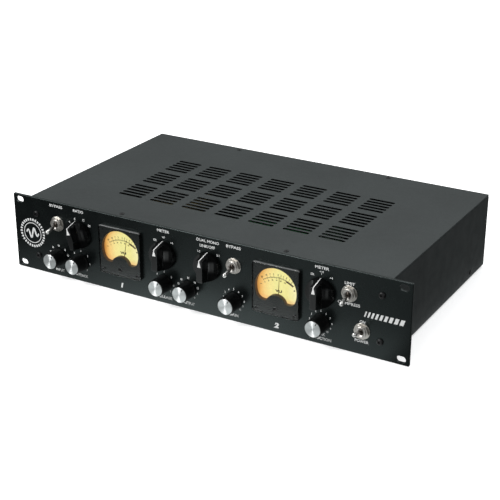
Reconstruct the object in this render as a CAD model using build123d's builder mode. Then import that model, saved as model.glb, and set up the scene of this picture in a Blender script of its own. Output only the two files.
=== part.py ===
from build123d import *
from math import atan2, cos, degrees, radians, sin, sqrt
import os

# Two-channel rack compressor, 2U high, for a 19-inch rack.
# Frame: origin at the centre of the rack mounting plane (rear face of the
# front panel), +X to the right seen from the front, +Y into the rack, +Z up.
# "depth" below means distance in front of the rack plane, so y = -depth.

# ---------------------------------------------------------------- dimensions
PANEL_W, PANEL_H, PANEL_T = 482.6, 88.1, 3.0
RACK_X, RACK_Z = 465.1, 76.2  # spacing of the rack slots
SLOT_L, SLOT_W = 10.5, 7.0
PANEL_SCREW_X, PANEL_SCREW_Z = 420.0, 50.0  # spacing of the panel screws

SHEET = 1.2
BODY_W, BODY_D = 438.6, 261.9
BODY_BOTTOM, BODY_TOP = -43.3, 43.3
TRAY_TOP = BODY_TOP - SHEET
FLOOR = BODY_BOTTOM + SHEET  # inner face of the tray floor
BEND = 2.0
FLANGE = 14.0
FLANGE_W = BODY_W - 2 * FLANGE

VENT_X = (-125.0, -83.4, -41.7, 0.0, 41.7, 83.4, 125.0)
VENT_Y = (73.9, 120.2, 166.8)
VENT_SLOT_L, VENT_SLOT_W, VENT_PITCH = 30.5, 4.6, 7.7
VENT_ROWS = range(-2, 3)  # slots of one vent group, counted from its middle

# chassis screw places
FRONT_LID_SCREWS = ((-100, FLANGE / 2), (100, FLANGE / 2))  # x, y
REAR_LID_SCREWS = ((-100, 254.5), (100, 254.5))  # x, y
SIDE_SCREW = (220, -36)  # y, z
CHASSIS_TAP_R = 1.5  # holes for these screws in the rear panel

# selectors: knob node, shaft node, x, z, clockwise angle of the pointer
SELECTORS = (
    ("ratio_knob", "ratio_shaft", -151.3, 12.4, -15.0),
    ("meter_knob_1", "meter_shaft_1", -41.2, 12.0, 0.0),
    ("link_knob", "link_shaft", 14.1, 11.5, 0.0),
    ("meter_knob_2", "meter_shaft_2", 144.8, 12.6, 0.0),
)
SELECTOR_BASE_R, SELECTOR_TOP_R, SELECTOR_FRONT = 15.8, 12.2, 20.6
SELECTOR_BAR = 6.8

# round knobs: knob node, x, z
POTS = (
    ("input_knob", -181.0, -20.3),
    ("attack_knob", -150.7, -20.3),
    ("release_knob", -40.8, -20.3),
    ("output_knob", -10.7, -20.3),
    ("gain_knob", 44.9, -20.3),
    ("reduction_knob", 145.3, -20.3),
)
POT_KNOB_R, POT_KNOB_TOP_R, POT_KNOB_FRONT = 9.75, 9.4, 20.6
POT_CAP_R, POT_CAP_T = 8.5, 1.0
POT_CAP_BACK = POT_KNOB_FRONT - 0.6
POT_REST = 30.0  # clockwise angle of the indicator

KNOB_BACK = 3.6
SHAFT_R, SHAFT_RUNNING = 3.0, 0.05
SHAFT_END, SHAFT_CHAMFER = 15.4, 0.4
BUSHING_R, BUSHING_HOLE_R = 4.5, 4.75
BUSHING_FRONT, BUSHING_CHAMFER = 7.0, 0.4
NUT_AF, NUT_T = 12.0, 2.0

# toggle switches: lever node, x, z, tilt of the lever at rest (down positive)
TOGGLES = (
    ("bypass_lever_1", -181.0, 18.8, 13.0),
    ("bypass_lever_2", 44.9, 18.8, 13.0),
    ("mode_lever", 175.6, 18.8, 13.0),
    ("power_lever", 190.5, -18.2, -13.0),
)
TOGGLE_R, TOGGLE_HOLE_R = 5.95, 6.2
TOGGLE_FRONT = 7.6
PIVOT_DEPTH = 4.0
BALL_R, BALL_SEAT_R = 3.8, 3.86
LEVER_L, LEVER_TIP_R = 19.4, 2.4
WASHER_R, WASHER_T = 8.65, 0.8

# meters: x, clockwise angle of the needle, needle node
METERS = ((-95.5, 9.0, "meter_needle_1"), (95.5, 2.0, "meter_needle_2"))
METER_W, METER_H, METER_Z = 54.0, 55.5, 3.75
METER_FRONT = 7.2
CAN_R, CAN_Z, CAN_BACK = 20.0, -1.4, -26.0
# shallow box that carries the dial, set through the panel
METER_BOX_W, METER_BOX_H, METER_BOX_Z = 51.6, 52.2, 4.1
METER_HOLE_W, METER_HOLE_H, METER_HOLE_CORNER = 52.0, 52.6, 2.6
DIAL_FRONT, DIAL_T = 0.2, 0.8
NEEDLE_PIVOT_Z, NEEDLE_L = -16.0, 33.5
NEEDLE_BACK = DIAL_FRONT + 0.25
LAMP_Z, LAMP_R = 6.0, 4.5

# rear connectors: x, z
INPUTS = ((170.0, 0.0), (85.0, 0.0))
OUTPUTS = ((135.0, 0.0), (50.0, 0.0))
INLET = (-175.0, 0.0)
CONNECTOR_FRONT = BODY_D + 2.4  # y of the outer faces of the connector plates
CONNECTOR_CUT = CONNECTOR_FRONT + 1  # y where cuts into the connectors start
XLR_SCREW_X, XLR_SCREW_Z = 9.5, 12.0  # screws from the connector centre
XLR_SCREWS = [
    (x + XLR_SCREW_X * s, z + XLR_SCREW_Z * s) for x, z in INPUTS + OUTPUTS for s in (-1, 1)
]
INLET_SCREW_SPACING = 40.0
CONNECTOR_SCREW_R, CONNECTOR_SCREW_CUT = 1.6, 4.0

TOROID = (-152.0, 190.0)  # x, y
TOROID_H = 40.0
BOARD_X, BOARD_Y, BOARD_Z = (-85.0, 200.0), (52.0, 232.0), -34.5
BOARD_W, BOARD_D = BOARD_X[1] - BOARD_X[0], BOARD_Y[1] - BOARD_Y[0]
BOARD_CENTRE = (sum(BOARD_X) / 2, sum(BOARD_Y) / 2)
BOARD_T = 1.6
BOARD_TOP = BOARD_Z + BOARD_T

CONTROL_HOLES = [(x, z) for _, _, x, z, _ in SELECTORS] + [(x, z) for _, x, z in POTS]
TOGGLE_HOLES = [(x, z) for _, x, z, _ in TOGGLES]
METER_HOLES = [(x, METER_BOX_Z) for x, _, _ in METERS]

os.makedirs("parts", exist_ok=True)


# ------------------------------------------------------------------- helpers
def save(builder, name):
    """Label the finished piece and write its STEP file."""
    part = builder.part
    part.label = name
    export_step(part, f"parts/{name}.step")


def facing(x, z, depth=0.0, turn=0.0):
    """Plane parallel to the front panel, looking out of it, turned clockwise."""
    a = radians(turn)
    return Plane(origin=(x, -depth, z), x_dir=(cos(a), 0, -sin(a)), z_dir=(0, -1, 0))


def half_section(x, z):
    """Horizontal plane at height z: local x runs along +X, local y is depth."""
    return Plane(origin=(x, 0, z), x_dir=(1, 0, 0), z_dir=(0, 0, -1))


def across(x, z, turn):
    """Cross-section of a pointer knob: local x across the bar, local y = -depth."""
    a = radians(turn)
    return Plane(origin=(x, 0, z), x_dir=(cos(a), 0, -sin(a)), z_dir=(sin(a), 0, cos(a)))


def along(x, z, turn):
    """Section down the middle of a knob: local x towards its mark, local y = depth."""
    a = radians(turn)
    return Plane(origin=(x, 0, z), x_dir=(sin(a), 0, cos(a)), z_dir=(cos(a), 0, -sin(a)))


def rear_facing(x, z, y=BODY_D):
    """Plane looking out of the back: local x runs along -X, local y is up."""
    return Plane(origin=(x, y, z), x_dir=(-1, 0, 0), z_dir=(0, 1, 0))


def front_axis(x, z):
    return Axis((x, 0, z), (0, -1, 0))


def turned_face(x, z, outline):
    """Half-section of a piece turned about front_axis, from (radius, depth) points."""
    with BuildSketch(half_section(x, z)) as section:
        with BuildLine():
            Polyline(*outline, close=True)
        make_face()
    return section.sketch


# --------------------------------------------------------------- sheet metal
def front_panel():
    with BuildPart() as panel:
        with BuildSketch(Plane.XZ):
            RectangleRounded(PANEL_W, PANEL_H, 1.2)
            with GridLocations(RACK_X, RACK_Z, 2, 2):
                SlotOverall(SLOT_L, SLOT_W, mode=Mode.SUBTRACT)
            with GridLocations(PANEL_SCREW_X, PANEL_SCREW_Z, 2, 2):
                Circle(2.2, mode=Mode.SUBTRACT)
            with Locations(*CONTROL_HOLES):
                Circle(BUSHING_HOLE_R, mode=Mode.SUBTRACT)
            with Locations(*TOGGLE_HOLES):
                Circle(TOGGLE_HOLE_R, mode=Mode.SUBTRACT)
            with Locations(*METER_HOLES):
                RectangleRounded(
                    METER_HOLE_W, METER_HOLE_H, METER_HOLE_CORNER, mode=Mode.SUBTRACT
                )
        extrude(amount=PANEL_T)
        # rounded front edge, chamfered rear edge
        fillet(panel.faces().sort_by(Axis.Y)[0].outer_wire().edges(), 0.7)
        chamfer(panel.faces().sort_by(Axis.Y)[-1].outer_wire().edges(), 0.3)
    save(panel, "front_panel")


def chassis_tray():
    height = TRAY_TOP - BODY_BOTTOM
    middle = (TRAY_TOP + BODY_BOTTOM) / 2
    strip = 6.0  # height of the opening band and of the front wall's top band
    with BuildPart() as tray:
        # bent tube, open along the top between the side flanges
        with BuildSketch(Plane.XZ):
            with Locations((0, middle)):
                RectangleRounded(BODY_W, height, BEND)
                RectangleRounded(
                    BODY_W - 2 * SHEET, height - 2 * SHEET, BEND - SHEET, mode=Mode.SUBTRACT
                )
            with Locations((0, TRAY_TOP)):
                Rectangle(FLANGE_W, strip, mode=Mode.SUBTRACT)
        extrude(amount=-BODY_D)
        # front wall behind the panel, with its top return flange
        with BuildSketch(Plane.XZ):
            with Locations((0, middle)):
                Rectangle(BODY_W - 2 * SHEET, height - 1.0)
            with Locations((0, TRAY_TOP - strip / 2)):
                Rectangle(FLANGE_W, strip)
        extrude(amount=-SHEET)
        with BuildSketch(Plane.XY.offset(TRAY_TOP - SHEET)):
            with Locations((0, FLANGE / 2)):
                Rectangle(FLANGE_W, FLANGE)
        extrude(amount=SHEET)
        # openings in the front wall
        with BuildSketch(Plane.XZ.offset(1)):
            with GridLocations(PANEL_SCREW_X, PANEL_SCREW_Z, 2, 2):
                Circle(2.0)
            with Locations(*CONTROL_HOLES):
                Circle(BUSHING_HOLE_R)
            with Locations(*TOGGLE_HOLES):
                Circle(TOGGLE_HOLE_R)
            with Locations(*METER_HOLES):
                RectangleRounded(METER_HOLE_W, METER_HOLE_H, METER_HOLE_CORNER)
        extrude(amount=-(SHEET + 2), mode=Mode.SUBTRACT)
        # lid screw holes in the front flange
        with BuildSketch(Plane.XY.offset(TRAY_TOP - 3)):
            with Locations(*FRONT_LID_SCREWS):
                Circle(1.5)
        extrude(amount=6, mode=Mode.SUBTRACT)
        # side screw holes
        with BuildSketch(Plane.YZ.offset(-BODY_W / 2 - 1)):
            with Locations(SIDE_SCREW):
                Circle(1.6)
        extrude(amount=BODY_W + 2, mode=Mode.SUBTRACT)
        # transformer bolt hole in the floor
        with BuildSketch(Plane.XY.offset(BODY_BOTTOM - 1)):
            with Locations(TOROID):
                Circle(3.1)
        extrude(amount=SHEET + 2, mode=Mode.SUBTRACT)
    save(tray, "chassis_tray")


def top_cover():
    front_gap = 0.1
    vents = [(x, y + row * VENT_PITCH) for x in VENT_X for y in VENT_Y for row in VENT_ROWS]
    with BuildPart() as cover:
        with BuildSketch(Plane.XY.offset(TRAY_TOP)):
            with Locations((0, (BODY_D + front_gap) / 2)):
                Rectangle(BODY_W, BODY_D - front_gap)
            with Locations(*vents):
                SlotOverall(VENT_SLOT_L, VENT_SLOT_W, mode=Mode.SUBTRACT)
            with Locations(*FRONT_LID_SCREWS, *REAR_LID_SCREWS):
                Circle(1.7, mode=Mode.SUBTRACT)
        extrude(amount=SHEET)
        chamfer(cover.faces().sort_by(Axis.Z)[-1].outer_wire().edges(), 0.35)
    save(cover, "top_cover")


def rear_panel():
    gap = 0.2  # clearance inside the tray
    width = BODY_W - 2 * SHEET - 2 * gap
    height = TRAY_TOP - BODY_BOTTOM - 2 * SHEET - 2 * gap
    notch = 1.0  # square notch at each corner, clear of the tray bends
    flange_w = FLANGE_W - 0.6
    top_band = 8.0
    gusset_front, gusset_h, gusset_z = 205.0, 21.0, -30.5
    with BuildPart() as panel:
        with BuildSketch(Plane.XZ.offset(-BODY_D)):
            with Locations((0, (BODY_BOTTOM + TRAY_TOP) / 2)):
                Rectangle(width - 2 * notch, height)
                Rectangle(width, height - 2 * notch)
            with Locations((0, TRAY_TOP - top_band / 2)):
                Rectangle(flange_w, top_band)
            with Locations(*INPUTS, *OUTPUTS):
                Circle(12.0, mode=Mode.SUBTRACT)
            with Locations(*XLR_SCREWS):
                Circle(CHASSIS_TAP_R, mode=Mode.SUBTRACT)
            with Locations(INLET):
                Rectangle(28.0, 20.8, mode=Mode.SUBTRACT)
                with GridLocations(INLET_SCREW_SPACING, 0, 2, 1):
                    Circle(CHASSIS_TAP_R, mode=Mode.SUBTRACT)
        extrude(amount=SHEET)
        # forward top flange under the lid
        with BuildSketch(Plane.XY.offset(TRAY_TOP - SHEET)):
            with Locations((0, BODY_D - FLANGE / 2)):
                Rectangle(flange_w, FLANGE)
            with Locations(*REAR_LID_SCREWS):
                Circle(CHASSIS_TAP_R, mode=Mode.SUBTRACT)
        extrude(amount=SHEET)
        # gussets turned forward along the lower side walls
        with BuildSketch(Plane.YZ.offset(-width / 2), Plane.YZ.offset(width / 2 - SHEET)):
            with Locations(((gusset_front + BODY_D) / 2, gusset_z)):
                Rectangle(BODY_D - gusset_front, gusset_h)
            with Locations(SIDE_SCREW):
                Circle(CHASSIS_TAP_R, mode=Mode.SUBTRACT)
        extrude(amount=SHEET)
    save(panel, "rear_panel")


# -------------------------------------------------------------------- screws
def panel_screws():
    shank_r, shank_l = 1.95, 10.5
    head_r, head_h, head_round = 3.6, 2.1, 1.5
    socket_r, socket_depth = 1.5, 1.3
    with BuildPart() as screws:
        with BuildSketch(Plane.XZ.offset(PANEL_T - shank_l)):
            with GridLocations(PANEL_SCREW_X, PANEL_SCREW_Z, 2, 2):
                Circle(shank_r)
        extrude(amount=shank_l)
        with BuildSketch(Plane.XZ.offset(PANEL_T)):
            with GridLocations(PANEL_SCREW_X, PANEL_SCREW_Z, 2, 2):
                Circle(head_r)
        extrude(amount=head_h)
        fillet(screws.faces().group_by(Axis.Y)[0].edges(), head_round)
        with BuildSketch(Plane.XZ.offset(PANEL_T + head_h)):
            with GridLocations(PANEL_SCREW_X, PANEL_SCREW_Z, 2, 2):
                RegularPolygon(socket_r, 6)
        extrude(amount=-socket_depth, mode=Mode.SUBTRACT)
    save(screws, "panel_screws")


def chassis_screws():
    shank_r, shank_l = 1.45, 6.5
    head_r, rim_h, crown_h, crown_taper = 2.8, 0.3, 0.4, 50
    cross_l, cross_w, cross_depth = 2.9, 0.6, 1.0
    side_y, side_z = SIDE_SCREW
    # one plane per screw, lying on the seat of its head and looking outwards
    seats = [
        Plane(origin=(x, y, BODY_TOP), z_dir=(0, 0, 1))
        for x, y in FRONT_LID_SCREWS + REAR_LID_SCREWS
    ]
    seats += [Plane(origin=(s * BODY_W / 2, side_y, side_z), z_dir=(s, 0, 0)) for s in (-1, 1)]
    seats += [rear_facing(x, z, CONNECTOR_FRONT) for x, z in XLR_SCREWS]
    seats += [
        rear_facing(INLET[0] + s * INLET_SCREW_SPACING / 2, INLET[1], CONNECTOR_FRONT)
        for s in (-1, 1)
    ]
    with BuildPart() as screws:
        for seat in seats:
            with BuildSketch(seat.offset(-shank_l)):
                Circle(shank_r)
            extrude(amount=shank_l)
            with BuildSketch(seat):
                Circle(head_r)
            extrude(amount=rim_h)
            with BuildSketch(seat.offset(rim_h)):
                Circle(head_r)
            extrude(amount=crown_h, taper=crown_taper)
            with BuildSketch(seat.offset(rim_h + crown_h)):
                Rectangle(cross_l, cross_w)
                Rectangle(cross_w, cross_l)
            extrude(amount=-cross_depth, mode=Mode.SUBTRACT)
    save(screws, "chassis_screws")


# ---------------------------------------------------------- knobs and shafts
# radius, depth: recess over the nut and bushing, then the shaft hole
KNOB_BORE = (
    (0, 3.0), (7.3, 3.0), (7.3, 5.5), (5.0, 5.5), (5.0, 7.5),
    (SHAFT_R, 7.5), (SHAFT_R, 15.5), (0, 15.5),
)
# radius, depth: the shaft's rear part, up to where it reaches SHAFT_R
SELECTOR_ROTOR = (
    (0, -17.0), (1.5, -17.0), (1.5, -11.0), (9.0, -11.0), (9.0, -9.4), (SHAFT_R, -9.4),
)
POT_ROTOR = ((0, -9.0), (6.5, -9.0), (6.5, -7.6), (SHAFT_R, -7.6))


def selector_knob(name, x, z, turn):
    body = (  # radius, depth
        (0, KNOB_BACK), (SELECTOR_BASE_R, KNOB_BACK), (SELECTOR_BASE_R - 0.2, 6.2),
        (SELECTOR_TOP_R, SELECTOR_FRONT), (0, SELECTOR_FRONT),
    )
    # finger scoop, right half: distance from the bar's middle, -depth
    bar_front = (SELECTOR_BAR / 2, -21.0)
    bar_foot = (SELECTOR_BAR / 2 + 0.5, -13.0)
    scoop_bottom = (9.2, -6.9)
    scoop_rim = (16.2, -9.2)
    # engraved pointer: groove as radius, depth; wedge as offset, radius
    groove = ((15.5, 3.0), (15.3, 6.2), (11.65, 21.2), (17.0, 21.2), (17.0, 3.0))
    wedge = ((-0.6, 12.5), (0.6, 12.5), (2.1, 5.0), (-2.1, 5.0))
    with BuildPart() as knob:
        revolve(turned_face(x, z, body), axis=front_axis(x, z))
        # finger scoops on both sides leave the bar standing on the round base
        with BuildSketch(across(x, z, turn)):
            with BuildLine():
                Line(bar_front, bar_foot)
                ThreePointArc(bar_foot, (5.4, -8.9), scoop_bottom)
                ThreePointArc(scoop_bottom, (12.6, -7.35), scoop_rim)
                Polyline(scoop_rim, (18.0, -10.4), (18.0, -21.0), bar_front)
            make_face()
            mirror(about=Plane.YZ)
        extrude(amount=20, both=True, mode=Mode.SUBTRACT)
        fillet(knob.faces().sort_by(Axis.Y)[0].edges(), 0.5)
        # groove up the end of the bar and wedge on its face
        with BuildSketch(along(x, z, turn)):
            with BuildLine():
                Polyline(*groove, close=True)
            make_face()
        extrude(amount=0.6, both=True, mode=Mode.SUBTRACT)
        with BuildSketch(facing(x, z, SELECTOR_FRONT, turn)):
            with BuildLine():
                Polyline(*wedge, close=True)
            make_face()
        extrude(amount=-0.35, mode=Mode.SUBTRACT)
        revolve(turned_face(x, z, KNOB_BORE), axis=front_axis(x, z), mode=Mode.SUBTRACT)
    save(knob, name)


def control_shaft(name, x, z, rotor):
    """Shaft with its contact rotor inside the switch or potentiometer."""
    outline = rotor + (
        (SHAFT_R, SHAFT_END - SHAFT_CHAMFER), (SHAFT_R - SHAFT_CHAMFER, SHAFT_END), (0, SHAFT_END),
    )
    with BuildPart() as shaft:
        revolve(turned_face(x, z, outline), axis=front_axis(x, z))
    save(shaft, name)


def pot_knob(name, x, z):
    body = (  # radius, depth
        (0, KNOB_BACK), (POT_KNOB_R, KNOB_BACK), (POT_KNOB_R, 5.4), (POT_KNOB_R - 0.25, 5.8),
        (POT_KNOB_TOP_R, POT_KNOB_FRONT - 0.5), (POT_KNOB_TOP_R - 0.4, POT_KNOB_FRONT),
        (POT_CAP_R, POT_KNOB_FRONT), (POT_CAP_R, POT_CAP_BACK), (0, POT_CAP_BACK),
    )
    groove = ((9.1, 5.9), (8.95, 21.0), (10.5, 21.0), (10.5, 5.9))  # radius, depth
    flute_r, flute_count, flute_start, flute_back, flute_l = 0.42, 36, 5, 6.6, 12.6
    with BuildPart() as knob:
        revolve(turned_face(x, z, body), axis=front_axis(x, z))
        # fine grip flutes
        with BuildSketch(facing(x, z, flute_back)):
            with PolarLocations(POT_KNOB_R + 0.22, flute_count, start_angle=flute_start):
                Circle(flute_r)
        extrude(amount=flute_l, mode=Mode.SUBTRACT)
        # indicator groove down the side
        with BuildSketch(along(x, z, POT_REST)):
            with BuildLine():
                Polyline(*groove, close=True)
            make_face()
        extrude(amount=0.5, both=True, mode=Mode.SUBTRACT)
        revolve(turned_face(x, z, KNOB_BORE), axis=front_axis(x, z), mode=Mode.SUBTRACT)
    save(knob, name)


def pot_cap(name, x, z):
    edge_r = POT_CAP_R - 0.02
    front = POT_CAP_BACK + POT_CAP_T
    disc = (  # radius, depth: a raised rim around a sunk face
        (0, POT_CAP_BACK), (edge_r, POT_CAP_BACK), (edge_r, front - 0.35),
        (POT_CAP_R - 0.4, front), (POT_CAP_R - 1.1, front),
        (POT_CAP_R - 1.3, front - 0.12), (0, front - 0.12),
    )
    with BuildPart() as cap:
        revolve(turned_face(x, z, disc), axis=front_axis(x, z))
        # engraved indicator line from the rim inwards
        with BuildSketch(facing(x, z, front, POT_REST)):
            with Locations((0, 7.4)):
                Rectangle(1.0, 4.0)
        extrude(amount=-0.4, mode=Mode.SUBTRACT)
    save(cap, name)


# --------------------------------- rotary switches, potentiometers, their nuts
def control_case(case_r, case_back, cavity_r, cavity_back):
    """Radius, depth outline of a threaded bushing on a hollow round case."""
    bore_r = SHAFT_R + SHAFT_RUNNING
    return (
        (bore_r, BUSHING_FRONT), (BUSHING_R - BUSHING_CHAMFER, BUSHING_FRONT),
        (BUSHING_R, BUSHING_FRONT - BUSHING_CHAMFER), (BUSHING_R, -SHEET), (case_r, -SHEET),
        (case_r, case_back), (0, case_back), (0, cavity_back), (cavity_r, cavity_back),
        (cavity_r, -4.0), (bore_r, -4.0),
    )


def rotary_switches():
    case_back = -20.0
    case = control_case(12.8, case_back, cavity_r=10.0, cavity_back=-18.5)
    pin_circle_r, pin_count, pin_r, pin_l = 9.5, 12, 0.6, 5.0
    with BuildPart() as switches:
        for _, _, x, z, _ in SELECTORS:
            revolve(turned_face(x, z, case), axis=front_axis(x, z))
            # solder pins around the back
            with BuildSketch(facing(x, z, case_back)):
                with PolarLocations(pin_circle_r, pin_count):
                    Circle(pin_r)
            extrude(amount=-pin_l)
    save(switches, "rotary_switches")


def potentiometers():
    case = control_case(8.6, -12.0, cavity_r=7.4, cavity_back=-10.8)
    lug_w, lug_t, lug_l = 1.2, 0.8, 7.0
    lug_pitch, lug_depth, lug_drop = 5, -11.4, 6.4
    with BuildPart() as pots:
        for _, x, z in POTS:
            revolve(turned_face(x, z, case), axis=front_axis(x, z))
            # three solder lugs below the case
            with BuildSketch(half_section(x, z - lug_drop)):
                with Locations(*[(k * lug_pitch, lug_depth) for k in (-1, 0, 1)]):
                    Rectangle(lug_w, lug_t)
            extrude(amount=lug_l)
    save(pots, "potentiometers")


def shaft_nuts():
    with BuildPart() as nuts:
        with BuildSketch(Plane.XZ.offset(PANEL_T)):
            with Locations(*CONTROL_HOLES):
                RegularPolygon(NUT_AF / 2, 6, major_radius=False)
                Circle(BUSHING_R + 0.02, mode=Mode.SUBTRACT)
        extrude(amount=NUT_T)
    save(nuts, "shaft_nuts")


# ----------------------------------------------------------- toggle switches
def toggle_bodies():
    case_w, case_h = 15.0, 28.0
    cavity_w, cavity_h, cavity_l = 8.4, 16.0, 14.0
    front_wall, rear_block = 2.0, 8.0
    # ball seat: its widest ring, a point on its arc 22 degrees on, and its mouth
    seat_ring = (BALL_SEAT_R, PIVOT_DEPTH)
    seat_arc = radians(22)
    seat_mid = (BALL_SEAT_R * cos(seat_arc), PIVOT_DEPTH + BALL_SEAT_R * sin(seat_arc))
    mouth_r = 2.9
    seat_mouth = (mouth_r, PIVOT_DEPTH + sqrt(BALL_SEAT_R**2 - mouth_r**2))
    with BuildPart() as bodies:
        for _, x, z, _ in TOGGLES:
            with BuildSketch(facing(x, z, -SHEET)):
                Rectangle(case_w, case_h)
                Rectangle(cavity_w, cavity_h, mode=Mode.SUBTRACT)
            extrude(amount=-cavity_l)
            with BuildSketch(facing(x, z, -SHEET)):
                Rectangle(case_w, case_h)
                Circle(BALL_SEAT_R, mode=Mode.SUBTRACT)
            extrude(amount=-front_wall)
            with BuildSketch(facing(x, z, -SHEET - cavity_l)):
                Rectangle(case_w, case_h)
            extrude(amount=-rear_block)
            # terminals
            with BuildSketch(facing(x, z, -SHEET - cavity_l - rear_block)):
                with GridLocations(6.0, 9.0, 2, 3):
                    Rectangle(2.2, 0.8)
            extrude(amount=-6.0)
            # threaded bushing with the spherical ball seat and flared mouth
            with BuildSketch(half_section(x, z)):
                with BuildLine():
                    Polyline(
                        seat_ring, (BALL_SEAT_R, -SHEET), (TOGGLE_R, -SHEET),
                        (TOGGLE_R, TOGGLE_FRONT - 0.5), (TOGGLE_R - 0.5, TOGGLE_FRONT),
                        (4.4, TOGGLE_FRONT), seat_mouth,
                    )
                    ThreePointArc(seat_mouth, seat_mid, seat_ring)
                make_face()
            revolve(axis=front_axis(x, z))
    save(bodies, "toggle_bodies")


def toggle_washers():
    with BuildPart() as washers:
        with BuildSketch(Plane.XZ.offset(PANEL_T)):
            with Locations(*TOGGLE_HOLES):
                Circle(WASHER_R)
                Circle(TOGGLE_R + 0.05, mode=Mode.SUBTRACT)
        extrude(amount=WASHER_T)
        # outer front edges
        front_circles = washers.faces().group_by(Axis.Y)[0].edges().filter_by(GeomType.CIRCLE)
        chamfer(front_circles.group_by(SortBy.RADIUS)[-1], 0.25)
    save(washers, "toggle_washers")


def toggle_nuts():
    half_flats, thickness, turn = 7.1, 2.4, 8.0
    bevel = ((7.2, 6.3), (9.2, 6.3), (9.2, 5.0))  # radius, depth
    with BuildPart() as nuts:
        for _, x, z, _ in TOGGLES:
            with BuildSketch(facing(x, z, PANEL_T + WASHER_T, turn)):
                RegularPolygon(half_flats, 6, major_radius=False)
            extrude(amount=thickness)
            # bevel the six corners, then bore
            revolve(turned_face(x, z, bevel), axis=front_axis(x, z), mode=Mode.SUBTRACT)
            with BuildSketch(facing(x, z)):
                Circle(TOGGLE_R + 0.03)
            extrude(amount=8, mode=Mode.SUBTRACT)
    save(nuts, "toggle_nuts")


def toggle_lever(name, x, z, tilt):
    """Bat lever: ball in the seat, tail inside the switch, tapered handle outside."""
    t = radians(tilt)
    pivot = (x, -PIVOT_DEPTH, z)
    lever_plane = Plane(origin=pivot, x_dir=(1, 0, 0), z_dir=(0, sin(t), -cos(t)))
    neck_r, neck_end = 1.5, 5.4
    tail_r, tail_end, tail_chamfer = 1.3, -9.0, 0.4
    # where the neck and the tail meet the ball
    neck = sqrt(BALL_R**2 - neck_r**2)
    tail = -sqrt(BALL_R**2 - tail_r**2)
    neck_angle = degrees(atan2(neck, neck_r))
    tail_angle = degrees(atan2(tail, tail_r))
    tip_centre = LEVER_L - LEVER_TIP_R
    with BuildPart() as lever:
        with BuildSketch(lever_plane):
            with BuildLine():
                Polyline((neck_r, neck), (neck_r, neck_end), (LEVER_TIP_R, tip_centre))
                CenterArc((0, tip_centre), LEVER_TIP_R, 0, 90)
                Polyline(
                    (0, LEVER_L), (0, tail_end), (tail_r - tail_chamfer, tail_end),
                    (tail_r, tail_end + tail_chamfer), (tail_r, tail),
                )
                CenterArc((0, 0), BALL_R, tail_angle, neck_angle - tail_angle)
            make_face()
        revolve(axis=Axis(pivot, (0, -cos(t), -sin(t))))
    save(lever, name)


# -------------------------------------------------------------------- meters
def kidney_outline(x, depth, margin=0.0):
    """The meter opening: a wide disc above two lobes with an arched notch,
    or its outline a margin further out."""
    disc_z, disc_r = 4.3, 23.9
    corner_x, corner_z, cut_bottom = 37.25, -10.45, -30
    lobe_x, lobe_z, lobe_r = 14.9, -1.6, 7.9
    with BuildSketch(facing(x, 0, depth)) as kidney:
        with Locations((0, disc_z)):
            Circle(disc_r)
        # keep only the part of the disc above two sloping lines
        with BuildLine():
            Polyline(
                (0, disc_z), (-corner_x, corner_z), (-corner_x, cut_bottom),
                (corner_x, cut_bottom), (corner_x, corner_z), close=True,
            )
        make_face(mode=Mode.SUBTRACT)
        with Locations((-lobe_x, lobe_z), (lobe_x, lobe_z)):
            Circle(lobe_r)
        with Locations((0, -2.6)):
            Rectangle(2 * lobe_x, 13.8)
        with Locations((0, -13.0)):
            Circle(11.5, mode=Mode.SUBTRACT)
        # the two corners where the notch meets the lower edge
        low_corners = kidney.vertices().filter_by_position(Axis.Z, -9.9, -9.1)
        fillet(low_corners.filter_by_position(Axis.X, x - 12, x + 12), 2.6)
        if margin:
            offset(amount=margin, mode=Mode.REPLACE)
    return kidney.sketch


def meter_bezels():
    width, height, thickness = 51.4, 52.9, 2.95
    wall, face_t = 1.0, 1.0
    with BuildPart() as bezels:
        for x, _, _ in METERS:
            with BuildSketch(facing(x, METER_Z, PANEL_T)):
                RectangleRounded(width, height, 2.0)
            extrude(amount=thickness)
            with BuildSketch(facing(x, METER_Z, PANEL_T)):
                RectangleRounded(width - 2 * wall, height - 2 * wall, 1.2)
            extrude(amount=thickness - face_t, mode=Mode.SUBTRACT)
            # a lip runs back from the opening to just in front of the needle
            extrude(kidney_outline(x, 1.0, 0.7), amount=4.4)
            extrude(kidney_outline(x, 0.5), amount=7.0, mode=Mode.SUBTRACT)
    save(bezels, "meter_bezels")


def meter_windows():
    with BuildPart() as windows:
        for x, _, _ in METERS:
            with BuildSketch(facing(x, METER_Z, PANEL_T)):
                RectangleRounded(METER_W, METER_H, 3.0)
            extrude(amount=METER_FRONT - PANEL_T)
        fillet(windows.faces().group_by(Axis.Y)[0].edges(), 0.8)
        for x, _, _ in METERS:
            # hollow behind the window
            with BuildSketch(facing(x, METER_Z, PANEL_T)):
                RectangleRounded(METER_W - 2.4, METER_H - 2.4, 2.1)
            extrude(amount=3.0, mode=Mode.SUBTRACT)
            # seats of the zero adjuster and of the two cover screws
            with BuildSketch(facing(x, 0, METER_FRONT)):
                with Locations((0, NEEDLE_PIVOT_Z)):
                    Circle(2.1)
                with Locations((-22.0, -19.2), (22.0, -19.2)):
                    Circle(1.5)
            extrude(amount=-0.7, mode=Mode.SUBTRACT)
    save(windows, "meter_windows")


def meter_dials():
    with BuildPart() as dials:
        for x, _, _ in METERS:
            with BuildSketch(facing(x, METER_BOX_Z, DIAL_FRONT)):
                RectangleRounded(49.4, 50.0, 1.0)
                with Locations((0, NEEDLE_PIVOT_Z - METER_BOX_Z)):
                    Circle(2.5, mode=Mode.SUBTRACT)
            extrude(amount=-DIAL_T)
    save(dials, "meter_dials")


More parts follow.
